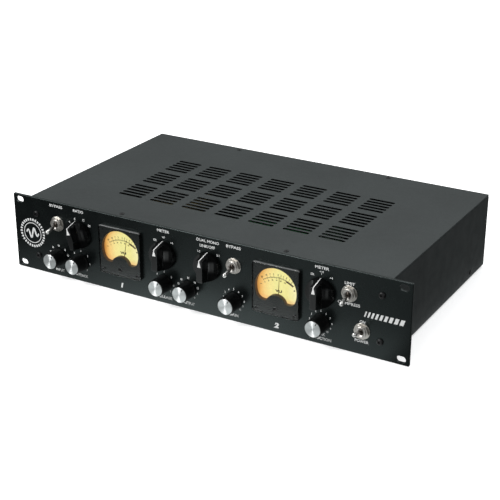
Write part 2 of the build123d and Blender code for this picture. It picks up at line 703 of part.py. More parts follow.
def meter_cans():
    can_front = -7.0
    box_back, box_floor = -8.0, 1.2
    lower_inset, upper_inset = 4.2, 1.8  # taken off the box size below and above the ledge
    with BuildPart() as cans:
        for x, _, _ in METERS:
            with BuildSketch(facing(x, CAN_Z, CAN_BACK)):
                Circle(CAN_R)
            extrude(amount=can_front - CAN_BACK)
            with BuildSketch(facing(x, METER_BOX_Z, box_back)):
                RectangleRounded(METER_BOX_W, METER_BOX_H, 2.4)
            extrude(amount=PANEL_T - box_back)
            # round cavity, then the narrower box below the dial and the wider above its ledge
            with BuildSketch(facing(x, CAN_Z, CAN_BACK + 1.5)):
                Circle(CAN_R - 1.2)
            extrude(amount=18.0, mode=Mode.SUBTRACT)
            with BuildSketch(facing(x, METER_BOX_Z, box_back + box_floor)):
                RectangleRounded(METER_BOX_W - lower_inset, METER_BOX_H - lower_inset, 1.0)
            extrude(amount=8.0, mode=Mode.SUBTRACT)
            with BuildSketch(facing(x, METER_BOX_Z, DIAL_FRONT - DIAL_T)):
                RectangleRounded(METER_BOX_W - upper_inset, METER_BOX_H - upper_inset, 1.4)
            extrude(amount=4.0, mode=Mode.SUBTRACT)
            # post behind the needle, bored for its arbor
            with BuildSketch(facing(x, NEEDLE_PIVOT_Z, CAN_BACK + 1.0)):
                Circle(2.6)
            extrude(amount=18.5)
            with BuildSketch(facing(x, NEEDLE_PIVOT_Z, -9.5)):
                Circle(0.85)
            extrude(amount=6.0, mode=Mode.SUBTRACT)
            # lamp hole in the back
            with BuildSketch(facing(x, LAMP_Z, CAN_BACK - 1)):
                Circle(LAMP_R + 0.05)
            extrude(amount=4.0, mode=Mode.SUBTRACT)
            # terminals
            with BuildSketch(facing(x, -8.0, CAN_BACK)):
                with GridLocations(16.0, 0, 2, 1):
                    Circle(1.5)
            extrude(amount=-5.0)
    save(cans, "meter_cans")


def meter_lamps():
    flange_r, flange_back = 6.2, CAN_BACK - 1.6
    holder_front = -16.0
    bulb_r, bulb_centre = 3.0, -8.0
    with BuildPart() as lamps:
        for x, _, _ in METERS:
            with BuildSketch(half_section(x, LAMP_Z)):
                with BuildLine():
                    Polyline(
                        (0, flange_back), (flange_r, flange_back), (flange_r, CAN_BACK),
                        (LAMP_R, CAN_BACK), (LAMP_R, holder_front),
                        (bulb_r, holder_front), (bulb_r, bulb_centre),
                    )
                    CenterArc((0, bulb_centre), bulb_r, 0, 90)
                    Line((0, bulb_centre + bulb_r), (0, flange_back))
                make_face()
            revolve(axis=front_axis(x, LAMP_Z))
    save(lamps, "meter_lamps")


def meter_needle(x, turn, name):
    blade = (  # offset from the needle's line, distance from the pivot
        (-0.55, 0), (-0.22, NEEDLE_L), (0.22, NEEDLE_L), (0.55, 0), (0.8, -4.6), (-0.8, -4.6),
    )
    arbor_back = -9.0
    with BuildPart() as needle:
        with BuildSketch(facing(x, NEEDLE_PIVOT_Z, NEEDLE_BACK, turn)):
            with BuildLine():
                Polyline(*blade, close=True)
            make_face()
            Circle(1.6)
        extrude(amount=0.35)
        # arbor, with a rounded block on it behind the dial
        with BuildSketch(facing(x, NEEDLE_PIVOT_Z, arbor_back, turn)):
            Circle(0.8)
        extrude(amount=NEEDLE_BACK - arbor_back)
        with BuildSketch(facing(x, NEEDLE_PIVOT_Z, -6.0, turn)):
            RectangleRounded(5.0, 6.0, 0.8)
        extrude(amount=5.0)
    save(needle, name)


# ----------------------------------------------------------- rear connectors
def xlr_connectors(name, places, is_input):
    """Inputs have contact sockets and a latch slot; outputs have pins."""
    contact_x, contact_near, contact_far = 3.8, 1.0, 4.2
    up = -1 if is_input else 1  # side of the centre on which the contacts lie
    contacts = [
        (-contact_x, contact_near * up), (contact_x, contact_near * up), (0, contact_far * up),
    ]
    with BuildPart() as connectors:
        for x, z in places:
            with BuildSketch(rear_facing(x, z)):
                RectangleRounded(26.0, 31.0, 2.5)
            extrude(amount=CONNECTOR_FRONT - BODY_D)
            with BuildSketch(rear_facing(x, z)):
                Circle(11.8)
            extrude(amount=-19.0)
            # gap for the plug shell; inputs keep a core in the middle
            with BuildSketch(rear_facing(x, z, CONNECTOR_CUT)):
                Circle(9.7)
                if is_input:
                    Circle(7.8, mode=Mode.SUBTRACT)
            extrude(amount=-17.0, mode=Mode.SUBTRACT)
            if is_input:
                with BuildSketch(rear_facing(x, z, CONNECTOR_CUT)):
                    with Locations(*contacts):
                        Circle(1.3)
                extrude(amount=-14.0, mode=Mode.SUBTRACT)
                # slot of the push latch
                with BuildSketch(rear_facing(x, z, CONNECTOR_CUT)):
                    with Locations((0, 13.4)):
                        Rectangle(8.2, 6.0)
                extrude(amount=-3.0, mode=Mode.SUBTRACT)
            else:
                with BuildSketch(rear_facing(x, z, BODY_D - 15.0)):
                    with Locations(*contacts):
                        Circle(1.2)
                extrude(amount=12.5)
            # screw holes
            with BuildSketch(rear_facing(x, z, CONNECTOR_CUT)):
                with Locations((XLR_SCREW_X, -XLR_SCREW_Z), (-XLR_SCREW_X, XLR_SCREW_Z)):
                    Circle(CONNECTOR_SCREW_R)
            extrude(amount=-CONNECTOR_SCREW_CUT, mode=Mode.SUBTRACT)
    save(connectors, name)


def input_latch(name, x, z):
    with BuildPart() as latch:
        with BuildSketch(rear_facing(x, z + 13.75, CONNECTOR_FRONT - 1.9)):
            RectangleRounded(7.8, 3.1, 0.6)
        extrude(amount=4.4)
        fillet(latch.faces().sort_by(Axis.Y)[-1].edges(), 0.5)
    save(latch, name)


def power_inlet():
    x, z = INLET
    body_l = 20.0
    mouth = (
        (-12.2, -8.3), (-12.2, 3.5), (-7.5, 8.3), (7.5, 8.3), (12.2, 3.5), (12.2, -8.3),
    )
    contacts = ((-7.0, -2.0), (7.0, -2.0), (0, 2.2))
    with BuildPart() as inlet:
        with BuildSketch(rear_facing(x, z)):
            RectangleRounded(50.0, 25.0, 3.0)
        extrude(amount=CONNECTOR_FRONT - BODY_D)
        with BuildSketch(rear_facing(x, z)):
            RectangleRounded(27.4, 20.2, 2.0)
        extrude(amount=-body_l)
        with BuildSketch(rear_facing(x, z, CONNECTOR_CUT)):
            with BuildLine():
                Polyline(*mouth, close=True)
            make_face()
        extrude(amount=-18.0, mode=Mode.SUBTRACT)
        # blades in the mouth
        with BuildSketch(rear_facing(x, z, BODY_D - 15.5)):
            with Locations(*contacts):
                Rectangle(2.0, 4.0)
        extrude(amount=13.5)
        # tabs on the inner end
        with BuildSketch(rear_facing(x, z, BODY_D - body_l)):
            with Locations(*contacts):
                Rectangle(4.8, 0.8)
        extrude(amount=-7.0)
        with BuildSketch(rear_facing(x, z, CONNECTOR_CUT)):
            with GridLocations(INLET_SCREW_SPACING, 0, 2, 1):
                Circle(CONNECTOR_SCREW_R)
        extrude(amount=-CONNECTOR_SCREW_CUT, mode=Mode.SUBTRACT)
    save(inlet, "power_inlet")


# ------------------------------------------------------------------- insides
def main_board():
    with BuildPart() as board:
        with BuildSketch(Plane.XY.offset(BOARD_Z)):
            with Locations(BOARD_CENTRE):
                RectangleRounded(BOARD_W, BOARD_D, 3.0)
        extrude(amount=BOARD_T)
        # rows of filter capacitors soldered to the board
        with BuildSketch(Plane.XY.offset(BOARD_TOP)):
            with Locations((-46, 108)):
                with GridLocations(28.0, 28.0, 2, 3):
                    Circle(9.0)
        extrude(amount=32.0)
        # low rectangular components
        with BuildSketch(Plane.XY.offset(BOARD_TOP)):
            with Locations((30, 90)):
                with GridLocations(24.0, 30.0, 6, 3):
                    Rectangle(9.6, 6.4)
        extrude(amount=3.6)
    save(board, "main_board")


def board_standoffs():
    inset = 7.0
    span_x, span_y = BOARD_W - 2 * inset, BOARD_D - 2 * inset
    with BuildPart() as standoffs:
        with BuildSketch(Plane.XY.offset(FLOOR)):
            with Locations(BOARD_CENTRE):
                with GridLocations(span_x / 2, span_y, 3, 2):
                    RegularPolygon(3.2, 6)
        extrude(amount=BOARD_Z - FLOOR)
    save(standoffs, "board_standoffs")


def power_transformer():
    with BuildPart() as transformer:
        with BuildSketch(Plane.XY.offset(FLOOR)):
            with Locations(TOROID):
                Circle(46.0)
                Circle(14.0, mode=Mode.SUBTRACT)
        extrude(amount=TOROID_H)
        fillet(transformer.edges().filter_by(GeomType.CIRCLE), 6.0)
    save(transformer, "power_transformer")


def transformer_bolt():
    """Through bolt with its clamping plate."""
    bolt_r, plate_r, head_r = 3.0, 30.0, 5.0
    bolt_bottom = BODY_BOTTOM + 0.1
    plate_bottom = FLOOR + TOROID_H
    plate_top = plate_bottom + 2.0
    head_top = plate_top + 5.0
    outline = (  # radius, z
        (0, bolt_bottom), (bolt_r, bolt_bottom), (bolt_r, plate_bottom), (plate_r, plate_bottom),
        (plate_r, plate_top), (head_r, plate_top), (head_r, head_top), (0, head_top),
    )
    with BuildPart() as bolt:
        with BuildSketch(Plane(origin=(*TOROID, 0), x_dir=(1, 0, 0), z_dir=(0, -1, 0))):
            with BuildLine():
                Polyline(*outline, close=True)
            make_face()
        revolve(axis=Axis((*TOROID, 0), (0, 0, 1)))
    save(bolt, "transformer_bolt")


def audio_transformers():
    with BuildPart() as transformers:
        with BuildSketch(Plane.XY.offset(BOARD_TOP)):
            with Locations((120, 205)):
                with GridLocations(40.0, 0, 4, 1):
                    RectangleRounded(30.0, 30.0, 2.0)
        extrude(amount=32.0)
    save(transformers, "audio_transformers")


def opto_cell():
    place = (172, 140)
    base_r, base_h = 17.0, 8.0
    can_r, can_h = 15.0, 46.0
    with BuildPart() as cell:
        with BuildSketch(Plane.XY.offset(BOARD_TOP)):
            with Locations(place):
                Circle(base_r)
        extrude(amount=base_h)
        with BuildSketch(Plane.XY.offset(BOARD_TOP + base_h)):
            with Locations(place):
                Circle(can_r)
        extrude(amount=can_h)
        fillet(cell.faces().sort_by(Axis.Z)[-1].edges(), 3.0)
    save(cell, "opto_cell")


# --------------------------------------------------------------------- build
front_panel()
chassis_tray()
top_cover()
rear_panel()
panel_screws()
chassis_screws()

for knob_name, shaft_name, x, z, turn in SELECTORS:
    selector_knob(knob_name, x, z, turn)
    control_shaft(shaft_name, x, z, SELECTOR_ROTOR)
for knob_name, x, z in POTS:
    pot_knob(knob_name, x, z)
    pot_cap(f"{knob_name}_cap", x, z)
    control_shaft(knob_name.replace("_knob", "_shaft"), x, z, POT_ROTOR)
rotary_switches()
potentiometers()
shaft_nuts()

toggle_bodies()
toggle_washers()
toggle_nuts()
for lever_name, x, z, tilt in TOGGLES:
    toggle_lever(lever_name, x, z, tilt)

meter_bezels()
meter_windows()
meter_dials()
meter_cans()
meter_lamps()
for x, turn, needle_name in METERS:
    meter_needle(x, turn, needle_name)

xlr_connectors("xlr_inputs", INPUTS, is_input=True)
xlr_connectors("xlr_outputs", OUTPUTS, is_input=False)
for number, (x, z) in enumerate(INPUTS, start=1):
    input_latch(f"input_latch_{number}", x, z)
power_inlet()

main_board()
board_standoffs()
power_transformer()
transformer_bolt()
audio_transformers()
opto_cell()
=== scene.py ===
"""A two-channel rack compressor: printed front panel, knobs, toggles and two lit needle meters.

+X is right, +Y goes into the rack and +Z is up. The front panel faces -Y. Sizes of the added
pieces are in mm. A depth is the distance in front of the rack plane, so y = -depth.
"""

import bpy
import bmesh
import math
from mathutils import Matrix, Vector

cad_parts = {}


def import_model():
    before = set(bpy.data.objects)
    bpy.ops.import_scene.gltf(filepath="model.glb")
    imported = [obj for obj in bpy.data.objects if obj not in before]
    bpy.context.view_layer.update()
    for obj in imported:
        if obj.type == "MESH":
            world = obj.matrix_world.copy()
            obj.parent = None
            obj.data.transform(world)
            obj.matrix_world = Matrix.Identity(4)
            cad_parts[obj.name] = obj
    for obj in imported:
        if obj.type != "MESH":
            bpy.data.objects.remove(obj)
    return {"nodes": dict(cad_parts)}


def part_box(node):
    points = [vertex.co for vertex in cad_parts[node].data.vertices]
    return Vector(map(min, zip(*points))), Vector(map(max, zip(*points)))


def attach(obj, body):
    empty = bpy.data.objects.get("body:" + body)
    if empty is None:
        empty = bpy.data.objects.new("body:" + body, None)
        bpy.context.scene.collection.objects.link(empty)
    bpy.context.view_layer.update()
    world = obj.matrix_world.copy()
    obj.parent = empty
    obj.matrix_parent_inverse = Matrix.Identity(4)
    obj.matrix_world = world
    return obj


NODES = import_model()["nodes"]
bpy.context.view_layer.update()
scene = bpy.context.scene
MM = 0.001


# ------------------------------------------------------------------ controls
DIAL_SWEEP = 276  # degrees from the first mark to the last


def even_scale(first, last):
    """(angle, word) of whole numbers spread evenly over the sweep."""
    gaps = last - first
    return [(-DIAL_SWEEP / 2 + DIAL_SWEEP * i / gaps, str(first + i)) for i in range(gaps + 1)]


LEVEL_SCALE = list(zip((-136, -104, -73, -42, 0, 42, 73, 104, 136),
                       ("0", "48", "36", "30", "24", "18", "12", "6", "0")))

# selector knob: moving body, turn of its pointer (degrees clockwise from up)
SELECTORS = {
    "ratio_knob": ("ratio_select", -15.0),
    "meter_knob_1": ("meter_select_1", 0.0),
    "link_knob": ("link_select", 0.0),
    "meter_knob_2": ("meter_select_2", 0.0),
}
# round knob: moving body, printed scale
POTS = {
    "input_knob": ("input_control", LEVEL_SCALE),
    "attack_knob": ("attack_control", even_scale(1, 7)),
    "release_knob": ("release_control", even_scale(1, 7)),
    "output_knob": ("output_control", LEVEL_SCALE),
    "gain_knob": ("gain_control", even_scale(0, 10)),
    "reduction_knob": ("reduction_control", even_scale(0, 10)),
}
# toggle lever: x, z of its pivot
LEVERS = {
    "bypass_lever_1": (-181.0, 18.8),
    "bypass_lever_2": (44.9, 18.8),
    "mode_lever": (175.6, 18.8),
    "power_lever": (190.5, -18.2),
}
METER_X = 95.5  # the two meters lie at -x and +x


def shaft_of(knob):
    return knob.replace("knob", "shaft")


def knob_centre(knob):
    """(x, z) of a knob's axis."""
    low_shade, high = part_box(knob + "_cap" if knob in POTS else shaft_of(knob))
    middle = (low_shade + high) / 2 / MM
    return middle.x, middle.z


# ----------------------------------------------------------------- node graph
class Graph:
    """A short way to write a node tree. Values may be numbers, 3-part colours or sockets."""

    def __init__(self, owner, output="OutputMaterial"):
        owner.use_nodes = True
        self.tree = owner.node_tree
        self.tree.nodes.clear()
        self.output = self.node(output)
        self.coord = self.node("TexCoord")
        self.place = self.coord.outputs["Object"]

    def feed(self, socket, value):
        if isinstance(value, bpy.types.NodeSocket):
            self.tree.links.new(value, socket)
        elif socket.type == "RGBA":
            socket.default_value = (*value, 1)
        else:
            socket.default_value = value

    def node(self, kind, *values, **named):
        """Capitalised names are inputs, lower-case names are settings; values fill inputs in order."""
        made = self.tree.nodes.new("ShaderNode" + kind)
        for key, value in named.items():
            if key[0].isupper():
                self.feed(made.inputs[key.replace("_", " ")], value)
            else:
                setattr(made, key, value)
        for i, value in enumerate(values):
            self.feed(made.inputs[i], value)
        return made

    def make(self, kind, *values, **named):
        """A node's first output."""
        return self.node(kind, *values, **named).outputs[0]

    def finish(self, shader):
        self.feed(self.output.inputs["Surface"], shader)

    def calc(self, operation, *values, clamp=False):
        return self.make("Math", *values, operation=operation, use_clamp=clamp)

    def times(self, a, b, clamp=False):
        return self.calc("MULTIPLY", a, b, clamp=clamp)

    def plus(self, a, b, clamp=False):
        return self.calc("ADD", a, b, clamp=clamp)

    def minus(self, a, b):
        return self.calc("SUBTRACT", a, b)

    def size(self, value):
        return self.calc("ABSOLUTE", value)

    def dot(self, a, b):
        return self.node("VectorMath", a, b, operation="DOT_PRODUCT").outputs["Value"]

    def split(self, vector):
        return list(self.node("SeparateXYZ", vector).outputs)

    def true_normal(self):
        return self.node("NewGeometry").outputs["True Normal"]

    def noise(self, scale, detail=2.0, rough=0.5, stretch=None):
        vector = self.place
        if stretch:
            vector = self.make("Mapping", Vector=vector, Scale=stretch)
        texture = self.node("TexNoise", Vector=vector, Scale=scale, Detail=detail, Roughness=rough)
        return texture.outputs["Fac"]

    def ramp(self, source, *stops):
        """Each stop is (position, colour), or (position, grey level)."""
        made = self.node("ValToRGB", source)
        elements = made.color_ramp.elements
        while len(elements) < len(stops):
            elements.new(0.5)
        for element, (position, colour) in zip(elements, stops):
            element.position = position
            element.color = (*(colour if isinstance(colour, tuple) else (colour,) * 3), 1)
        return made.outputs[0]

    def smoothstep(self, source, start, end, top=1.0):
        """0 at start, rising softly to top at end."""
        return self.make("MapRange", source, interpolation_type="SMOOTHSTEP",
                         From_Min=start, From_Max=end, To_Max=top)

    def mix(self, factor, a, b, blend_type="MIX"):
        made = self.node("Mix", data_type="RGBA", blend_type=blend_type, Factor=factor)
        self.feed(made.inputs[6], a)
        self.feed(made.inputs[7], b)
        return made.outputs[2]

    def multiply_colours(self, a, b):
        return self.mix(1.0, a, b, blend_type="MULTIPLY")

    def bump(self, height, strength, distance, **normal):
        return self.make("Bump", Height=height, Strength=strength, Distance=distance, **normal)

    def bevel(self, radius):
        """Normal rounded at the corners."""
        return self.make("Bevel", samples=4, Radius=radius)

    def edge_mask(self, rounded):
        """1 on a corner, 0 on a flat."""
        bend = self.minus(1.0, self.dot(rounded, self.true_normal()))
        return self.times(bend, 2.0, clamp=True)

    def principled(self, **inputs):
        return self.make("BsdfPrincipled", **inputs)


# ------------------------------------------------------------------ materials
MATERIALS = {}


def new_material(name):
    MATERIALS[name] = bpy.data.materials.new(name)
    return Graph(MATERIALS[name])


def scaled(colour, factor, lift=0.0):
    return tuple(c * factor + lift for c in colour)


def shade_slot_walls(g, colour, spec):
    """Painted shade: near-black, matt walls where slots pass through the top of the cover."""
    steepest = 0.6  # a face whose normal rises less than this is a wall
    half_width, front, back = 0.214, 0.004, 0.256  # slotted area, in metres
    _, _, rise = g.split(g.true_normal())
    x, y, _ = g.split(g.place)
    wall = g.calc("LESS_THAN", g.size(rise), steepest)
    inside = g.calc("LESS_THAN", g.size(x), half_width)
    behind = g.calc("GREATER_THAN", y, front)
    ahead = g.calc("LESS_THAN", y, back)
    # the slot walls are painted shade: near-black colour and no specular
    cut = g.times(g.times(wall, inside), g.times(behind, ahead))
    return g.mix(cut, colour, (0.003, 0.003, 0.003)), g.times(g.minus(1.0, cut), spec)


def powder_coat(name, base, rough, grain, spec, sheen, corner_tint, corner_share, peel=0.35, slots=False):
    """Powder coat: fine orange peel, slight tone drift, softened and paler rounded corners."""
    g = new_material(name)
    fine = g.noise(scale=grain, detail=3.0, rough=0.6)
    cells = g.node("TexVoronoi", Vector=g.place, Scale=grain * 1.4).outputs["Distance"]
    drift = g.noise(scale=9.0, detail=3.0, rough=0.55)
    speck = g.noise(scale=grain * 0.35, detail=2.0, rough=0.7)
    smear = g.noise(scale=60.0, detail=4.0, rough=0.6)
    rounded = g.bevel(radius=0.00045)
    tone = g.ramp(drift, (0.35, scaled(base, 0.75)), (0.65, scaled(base, 1.25)))
    fleck = g.ramp(speck, (0.46, 0.82), (0.6, 1.12))
    colour = g.multiply_colours(tone, fleck)
    colour = g.mix(g.times(g.edge_mask(rounded), corner_share), colour, corner_tint)
    height = g.plus(fine, g.times(cells, 0.5))
    # painted shade on the walls of the cover slots
    if slots:
        colour, spec = shade_slot_walls(g, colour, spec)
    g.finish(g.principled(
        Base_Color=colour,
        Roughness=g.ramp(smear, (0.3, rough - 0.05), (0.7, rough + 0.06)),
        Normal=g.bump(height, strength=peel, distance=0.00012, Normal=rounded),
        Specular_IOR_Level=spec, Specular_Tint=sheen))


def plastic(name, base, rough, spec=0.5, mottle=0.3, coat=0.0, grain=1800.0, bump=0.12):
    """Moulded plastic or smooth paint: mottled, finely grained, paler on the corners."""
    g = new_material(name)
    fine = g.noise(scale=grain, detail=2.0, rough=0.55)
    patches = g.noise(scale=140.0, detail=4.0, rough=0.6)
    rounded = g.bevel(radius=0.0003)
    edge_colour = tuple(min(1.0, c) for c in scaled(base, 2.2, lift=0.02))
    colour = g.ramp(patches, (0.3, scaled(base, 1 - mottle)), (0.7, scaled(base, 1 + mottle)))
    g.finish(g.principled(
        Base_Color=g.mix(g.times(g.edge_mask(rounded), 0.3), colour, edge_colour),
        Roughness=g.ramp(patches, (0.3, rough - 0.06), (0.7, rough + 0.08)),
        Normal=g.bump(fine, strength=bump, distance=0.00008, Normal=rounded),
        Specular_IOR_Level=spec, Coat_Weight=coat, Coat_Roughness=0.08))


def metal(name, base, rough, brush=None, bump=0.1, scratch=0.25):
    """Bare metal: brushing or polish lines, drifting roughness, bright rounded corners."""
    g = new_material(name)
    lines = g.noise(scale=900.0 if brush else 500.0, detail=3.0, rough=0.6,
                    stretch=brush or (1, 1, 1))
    smear = g.noise(scale=70.0, detail=4.0, rough=0.65)
    rounded = g.bevel(radius=0.00025)
    colour = g.ramp(lines, (0.35, scaled(base, 1 - scratch)), (0.65, base))
    edge_colour = scaled(base, 1.1, lift=0.05)
    g.finish(g.principled(
        Base_Color=g.mix(g.times(g.edge_mask(rounded), 0.4), colour, edge_colour),
        Roughness=g.ramp(smear, (0.3, rough - 0.05), (0.7, rough + 0.08)),
        Normal=g.bump(lines, strength=bump, distance=0.00005, Normal=rounded),
        Metallic=1.0))


def ink(name, base, rough=0.55):
    """Printed ink: slightly uneven cover and a matt, faintly grained film."""
    g = new_material(name)
    film = g.noise(scale=2600.0, detail=3.0, rough=0.6)
    cover = g.noise(scale=300.0, detail=4.0, rough=0.6)
    g.finish(g.principled(
        Base_Color=g.ramp(cover, (0.3, scaled(base, 0.86)), (0.6, base)),
        Roughness=g.ramp(film, (0.3, rough - 0.08), (0.7, rough + 0.08)),
        Normal=g.bump(film, strength=0.15, distance=0.00004)))


def toggle_metal():
    """Nickel bushing with cut thread in front of the chassis wall, dark moulded body behind it."""
    wall_y, thread_pitch = -0.0005, 0.0008  # metres
    g = new_material("toggle_metal")
    _, y, _ = g.split(g.place)
    front = g.calc("LESS_THAN", y, wall_y)
    thread = g.calc("SINE", g.times(y, 2 * math.pi / thread_pitch))
    smear = g.noise(scale=300.0, detail=3.0, rough=0.6)
    nickel = g.mix(smear, (0.46, 0.44, 0.42), (0.60, 0.57, 0.54))
    g.finish(g.principled(
        Base_Color=g.mix(front, (0.02, 0.015, 0.012), nickel),
        Roughness=g.ramp(smear, (0.3, 0.36), (0.7, 0.46)),
        Normal=g.bump(thread, strength=0.25, distance=0.00006),
        Metallic=front))


def meter_clear():
    """Clear moulded cover: see-through face; the pale top wall is a painted highlight, the dark side
    and lower walls are painted shade.
    """
    lip_depth, lip_gain = 4.3, 0.7  # the painted highlight on the top wall starts at this depth (mm)
    wall_start, wall_gain = 0.45, 3.0  # how far a normal turns before a face counts as a wall
    flank_cover, top_cover = 0.95, 0.85  # how far the wall looks hide the clear one
    g = new_material("meter_clear")
    dust = g.noise(scale=800.0, detail=4.0, rough=0.6)
    ripple = g.noise(scale=45.0, detail=2.0, rough=0.4)
    rounded = g.bevel(radius=0.0005)
    gloss = g.make("BsdfGlossy", Color=(1, 1, 1),
                   Roughness=g.ramp(dust, (0.3, 0.05), (0.75, 0.12)),
                   Normal=g.bump(ripple, strength=0.06, distance=0.0004, Normal=rounded))
    clear = g.make("MixShader", g.make("Fresnel", IOR=1.25, Normal=rounded),
                   g.make("BsdfTransparent", Color=(0.95, 0.96, 0.955)), gloss)

    # painted shade: near-black side and lower walls
    side = g.principled(Base_Color=(0.004, 0.0045, 0.0045), Roughness=0.22,
                        Specular_IOR_Level=0.3)
    # painted highlight: mottled pale grey on the top wall
    top_wall_highlight = g.ramp(g.noise(scale=90.0, detail=4.0, rough=0.7, stretch=(1, 1, 1)),
                  (0.35, (0.15, 0.155, 0.155)), (0.7, (0.27, 0.275, 0.27)))
    _, y, _ = g.split(g.place)
    lip = g.times(g.minus(g.times(y, -1000.0), lip_depth), lip_gain, clamp=True)
    top = g.principled(Base_Color=g.mix(lip, (0.008, 0.009, 0.009), top_wall_highlight), Roughness=0.3)

    across, _, rise = g.split(g.true_normal())
    up = g.times(g.minus(rise, wall_start), wall_gain, clamp=True)
    outward = g.calc("MAXIMUM", g.size(across), g.times(rise, -1.0))
    flank = g.times(g.minus(outward, wall_start), wall_gain, clamp=True)
    walled = g.make("MixShader", g.times(flank, flank_cover), clear, side)
    g.finish(g.make("MixShader", g.times(up, top_cover), walled, top))


def meter_black():
    """Black dial surround; the walls of its opening get a painted amber glow standing in for light
    from the lit card.
    """
    rim_depth, glow_reach, glow_level = 4.92, 4.0, 0.13  # mm, mm, strength at full depth
    g = new_material("meter_black")
    _, y, _ = g.split(g.place)
    depth = g.times(y, -1000.0)
    grain = g.noise(scale=1800.0, detail=2.0, rough=0.55)
    tone = g.noise(scale=140.0, detail=4.0, rough=0.6)
    colour = g.ramp(tone, (0.3, (0.0085, 0.0105, 0.0105)), (0.7, (0.0135, 0.0155, 0.0155)))
    # painted glow: amber colour and emission on the opening walls, stronger deeper in
    wall = g.calc("LESS_THAN", depth, rim_depth)
    sunk = g.times(g.minus(rim_depth, depth), 1 / glow_reach, clamp=True)
    g.finish(g.principled(
        Base_Color=g.mix(wall, colour, (0.05, 0.022, 0.006)),
        Roughness=g.ramp(tone, (0.3, 0.26), (0.7, 0.36)),
        Normal=g.bump(grain, strength=0.12, distance=0.00008, Normal=g.bevel(radius=0.0003)),
        Specular_IOR_Level=0.22,
        Emission_Color=(0.55, 0.22, 0.04),
        Emission_Strength=g.times(g.times(sunk, sunk), g.times(wall, glow_level))))


# painted backlight of the card from its left edge to its right, amber at the left where the painted
# light falls off: position, colour
DIAL_GLOW = (
    (0.0, (0.55, 0.22, 0.035)), (0.07, (0.84, 0.44, 0.11)), (0.17, (0.92, 0.63, 0.22)),
    (0.30, (0.91, 0.75, 0.29)), (0.45, (0.87, 0.79, 0.31)), (0.70, (0.86, 0.77, 0.30)),
    (0.88, (0.90, 0.82, 0.44)), (1.0, (0.88, 0.74, 0.45)),
)


def dial_cream():
    """Back-lit card: pale yellow painted glow, with painted amber falloff of the light at the left
    edge and lower down, faint paper mottle.
    """
    card_width, cloud_shift = 50.0, 5.0  # mm; the clouds push the bands about by this much
    rim_z, rim_squash, rim_bend = 6.0, 0.32, 0.16  # the painted amber falloff curves about this height
    low_amount = 0.75
    unlit_share = 0.72  # how far the reflecting colour goes to black
    g = new_material("dial_cream")
    x, _, z = g.split(g.place)
    from_centre = g.minus(g.size(x), METER_X * MM)
    across = g.times(g.times(from_centre, g.calc("SIGN", x)), 1000.0)
    up = g.times(z, 1000.0)
    paper = g.noise(scale=260.0, detail=5.0, rough=0.6)
    cloud = g.noise(scale=70.0, detail=3.0, rough=0.5)
    jitter = g.times(g.minus(cloud, 0.5), cloud_shift)
    rise = g.times(g.minus(up, rim_z), rim_squash)
    bend = g.times(g.times(rise, rise), rim_bend)
    shifted = g.minus(g.plus(across, jitter), bend)
    band_place = g.times(g.plus(shifted, card_width / 2), 1 / card_width)
    # painted falloff: the card turns amber towards the bottom
    low_shade = g.smoothstep(up, start=-3.0, end=-12.0)
    colour = g.mix(g.times(low_shade, low_amount), g.ramp(band_place, *DIAL_GLOW), (0.90, 0.46, 0.17))
    fibre = g.ramp(paper, (0.3, (0.93, 0.93, 0.92)), (0.7, (1.03, 1.03, 1.04)))
    colour = g.multiply_colours(colour, fibre)
    card = g.principled(Base_Color=g.mix(unlit_share, colour, (0.0, 0.0, 0.0)), Roughness=0.6,
                        Normal=g.bump(paper, strength=0.1, distance=0.00005))
    # the emission is a painted backlight glow
    g.finish(g.make("AddShader", card, g.make("Emission", Color=colour, Strength=1.01)))


def board_green():
    """Circuit board: green mask with a brick pattern of traces; tall parts on it are dark."""
    g = new_material("board_green")
    _, _, z = g.split(g.place)
    high = g.calc("GREATER_THAN", z, -0.0328)
    brick = g.node("TexBrick", Vector=g.place, Scale=140.0, Color1=(0.012, 0.10, 0.035),
                   Color2=(0.016, 0.13, 0.045), Mortar=(0.04, 0.26, 0.09), Mortar_Size=0.03)
    g.finish(g.principled(
        Base_Color=g.mix(high, brick.outputs["Color"], (0.02, 0.02, 0.03)), Roughness=0.35,
        Normal=g.bump(g.noise(scale=900.0), strength=0.2, distance=0.0001)))


def selector_black(name, x, z):
    """Gloss black moulding: specular and coat are turned down over parts of the finger scoops and the
    up-facing bar end as painted shade; corners get a painted highlight where glossy.
    """
    gloss_level, shade_loss = 1.25, 1.18  # shine kept on the grip, shine taken away where shade is painted
    g = new_material(name)
    mottle = g.noise(scale=140.0, detail=4.0, rough=0.6)
    grain = g.noise(scale=1800.0, detail=2.0, rough=0.55)
    rounded = g.bevel(radius=0.0003)
    place_x, _, place_z = g.split(g.place)
    _, _, facing_up = g.split(g.coord.outputs["Normal"])
    # painted shade: the scoop loses its shine below and above a band, and up-facing faces lose it too
    low_shade = g.smoothstep(place_z, start=(z + 1.0) * MM, end=(z - 6.0) * MM)
    high = g.smoothstep(place_z, start=(z + 4.5) * MM, end=(z + 9.0) * MM)
    side = g.smoothstep(place_x, start=(x + 3.9) * MM, end=(x + 4.6) * MM)
    scoop_shade = g.times(g.plus(low_shade, high, clamp=True), side)
    painted_shade = g.calc("MAXIMUM", scoop_shade, g.smoothstep(facing_up, start=0.30, end=0.55))
    shine = g.minus(gloss_level, g.times(painted_shade, shade_loss))
    colour = g.ramp(mottle, (0.3, (0.0013, 0.0014, 0.0015)), (0.7, (0.0023, 0.0026, 0.0027)))
    # painted highlight: paler corners where the moulding is glossy
    edge = g.times(g.edge_mask(rounded), g.times(shine, 0.3))
    base_rough = g.plus(g.times(mottle, 0.10), 0.15)
    g.finish(g.principled(
        Base_Color=g.mix(edge, colour, (0.024, 0.024, 0.025)),
        Roughness=g.plus(g.times(painted_shade, 0.22), base_rough),
        Normal=g.bump(grain, strength=0.05, distance=0.00008, Normal=rounded),
        Specular_IOR_Level=g.times(shine, 0.50),
        Coat_Weight=g.times(shine, 0.2), Coat_Roughness=0.08))


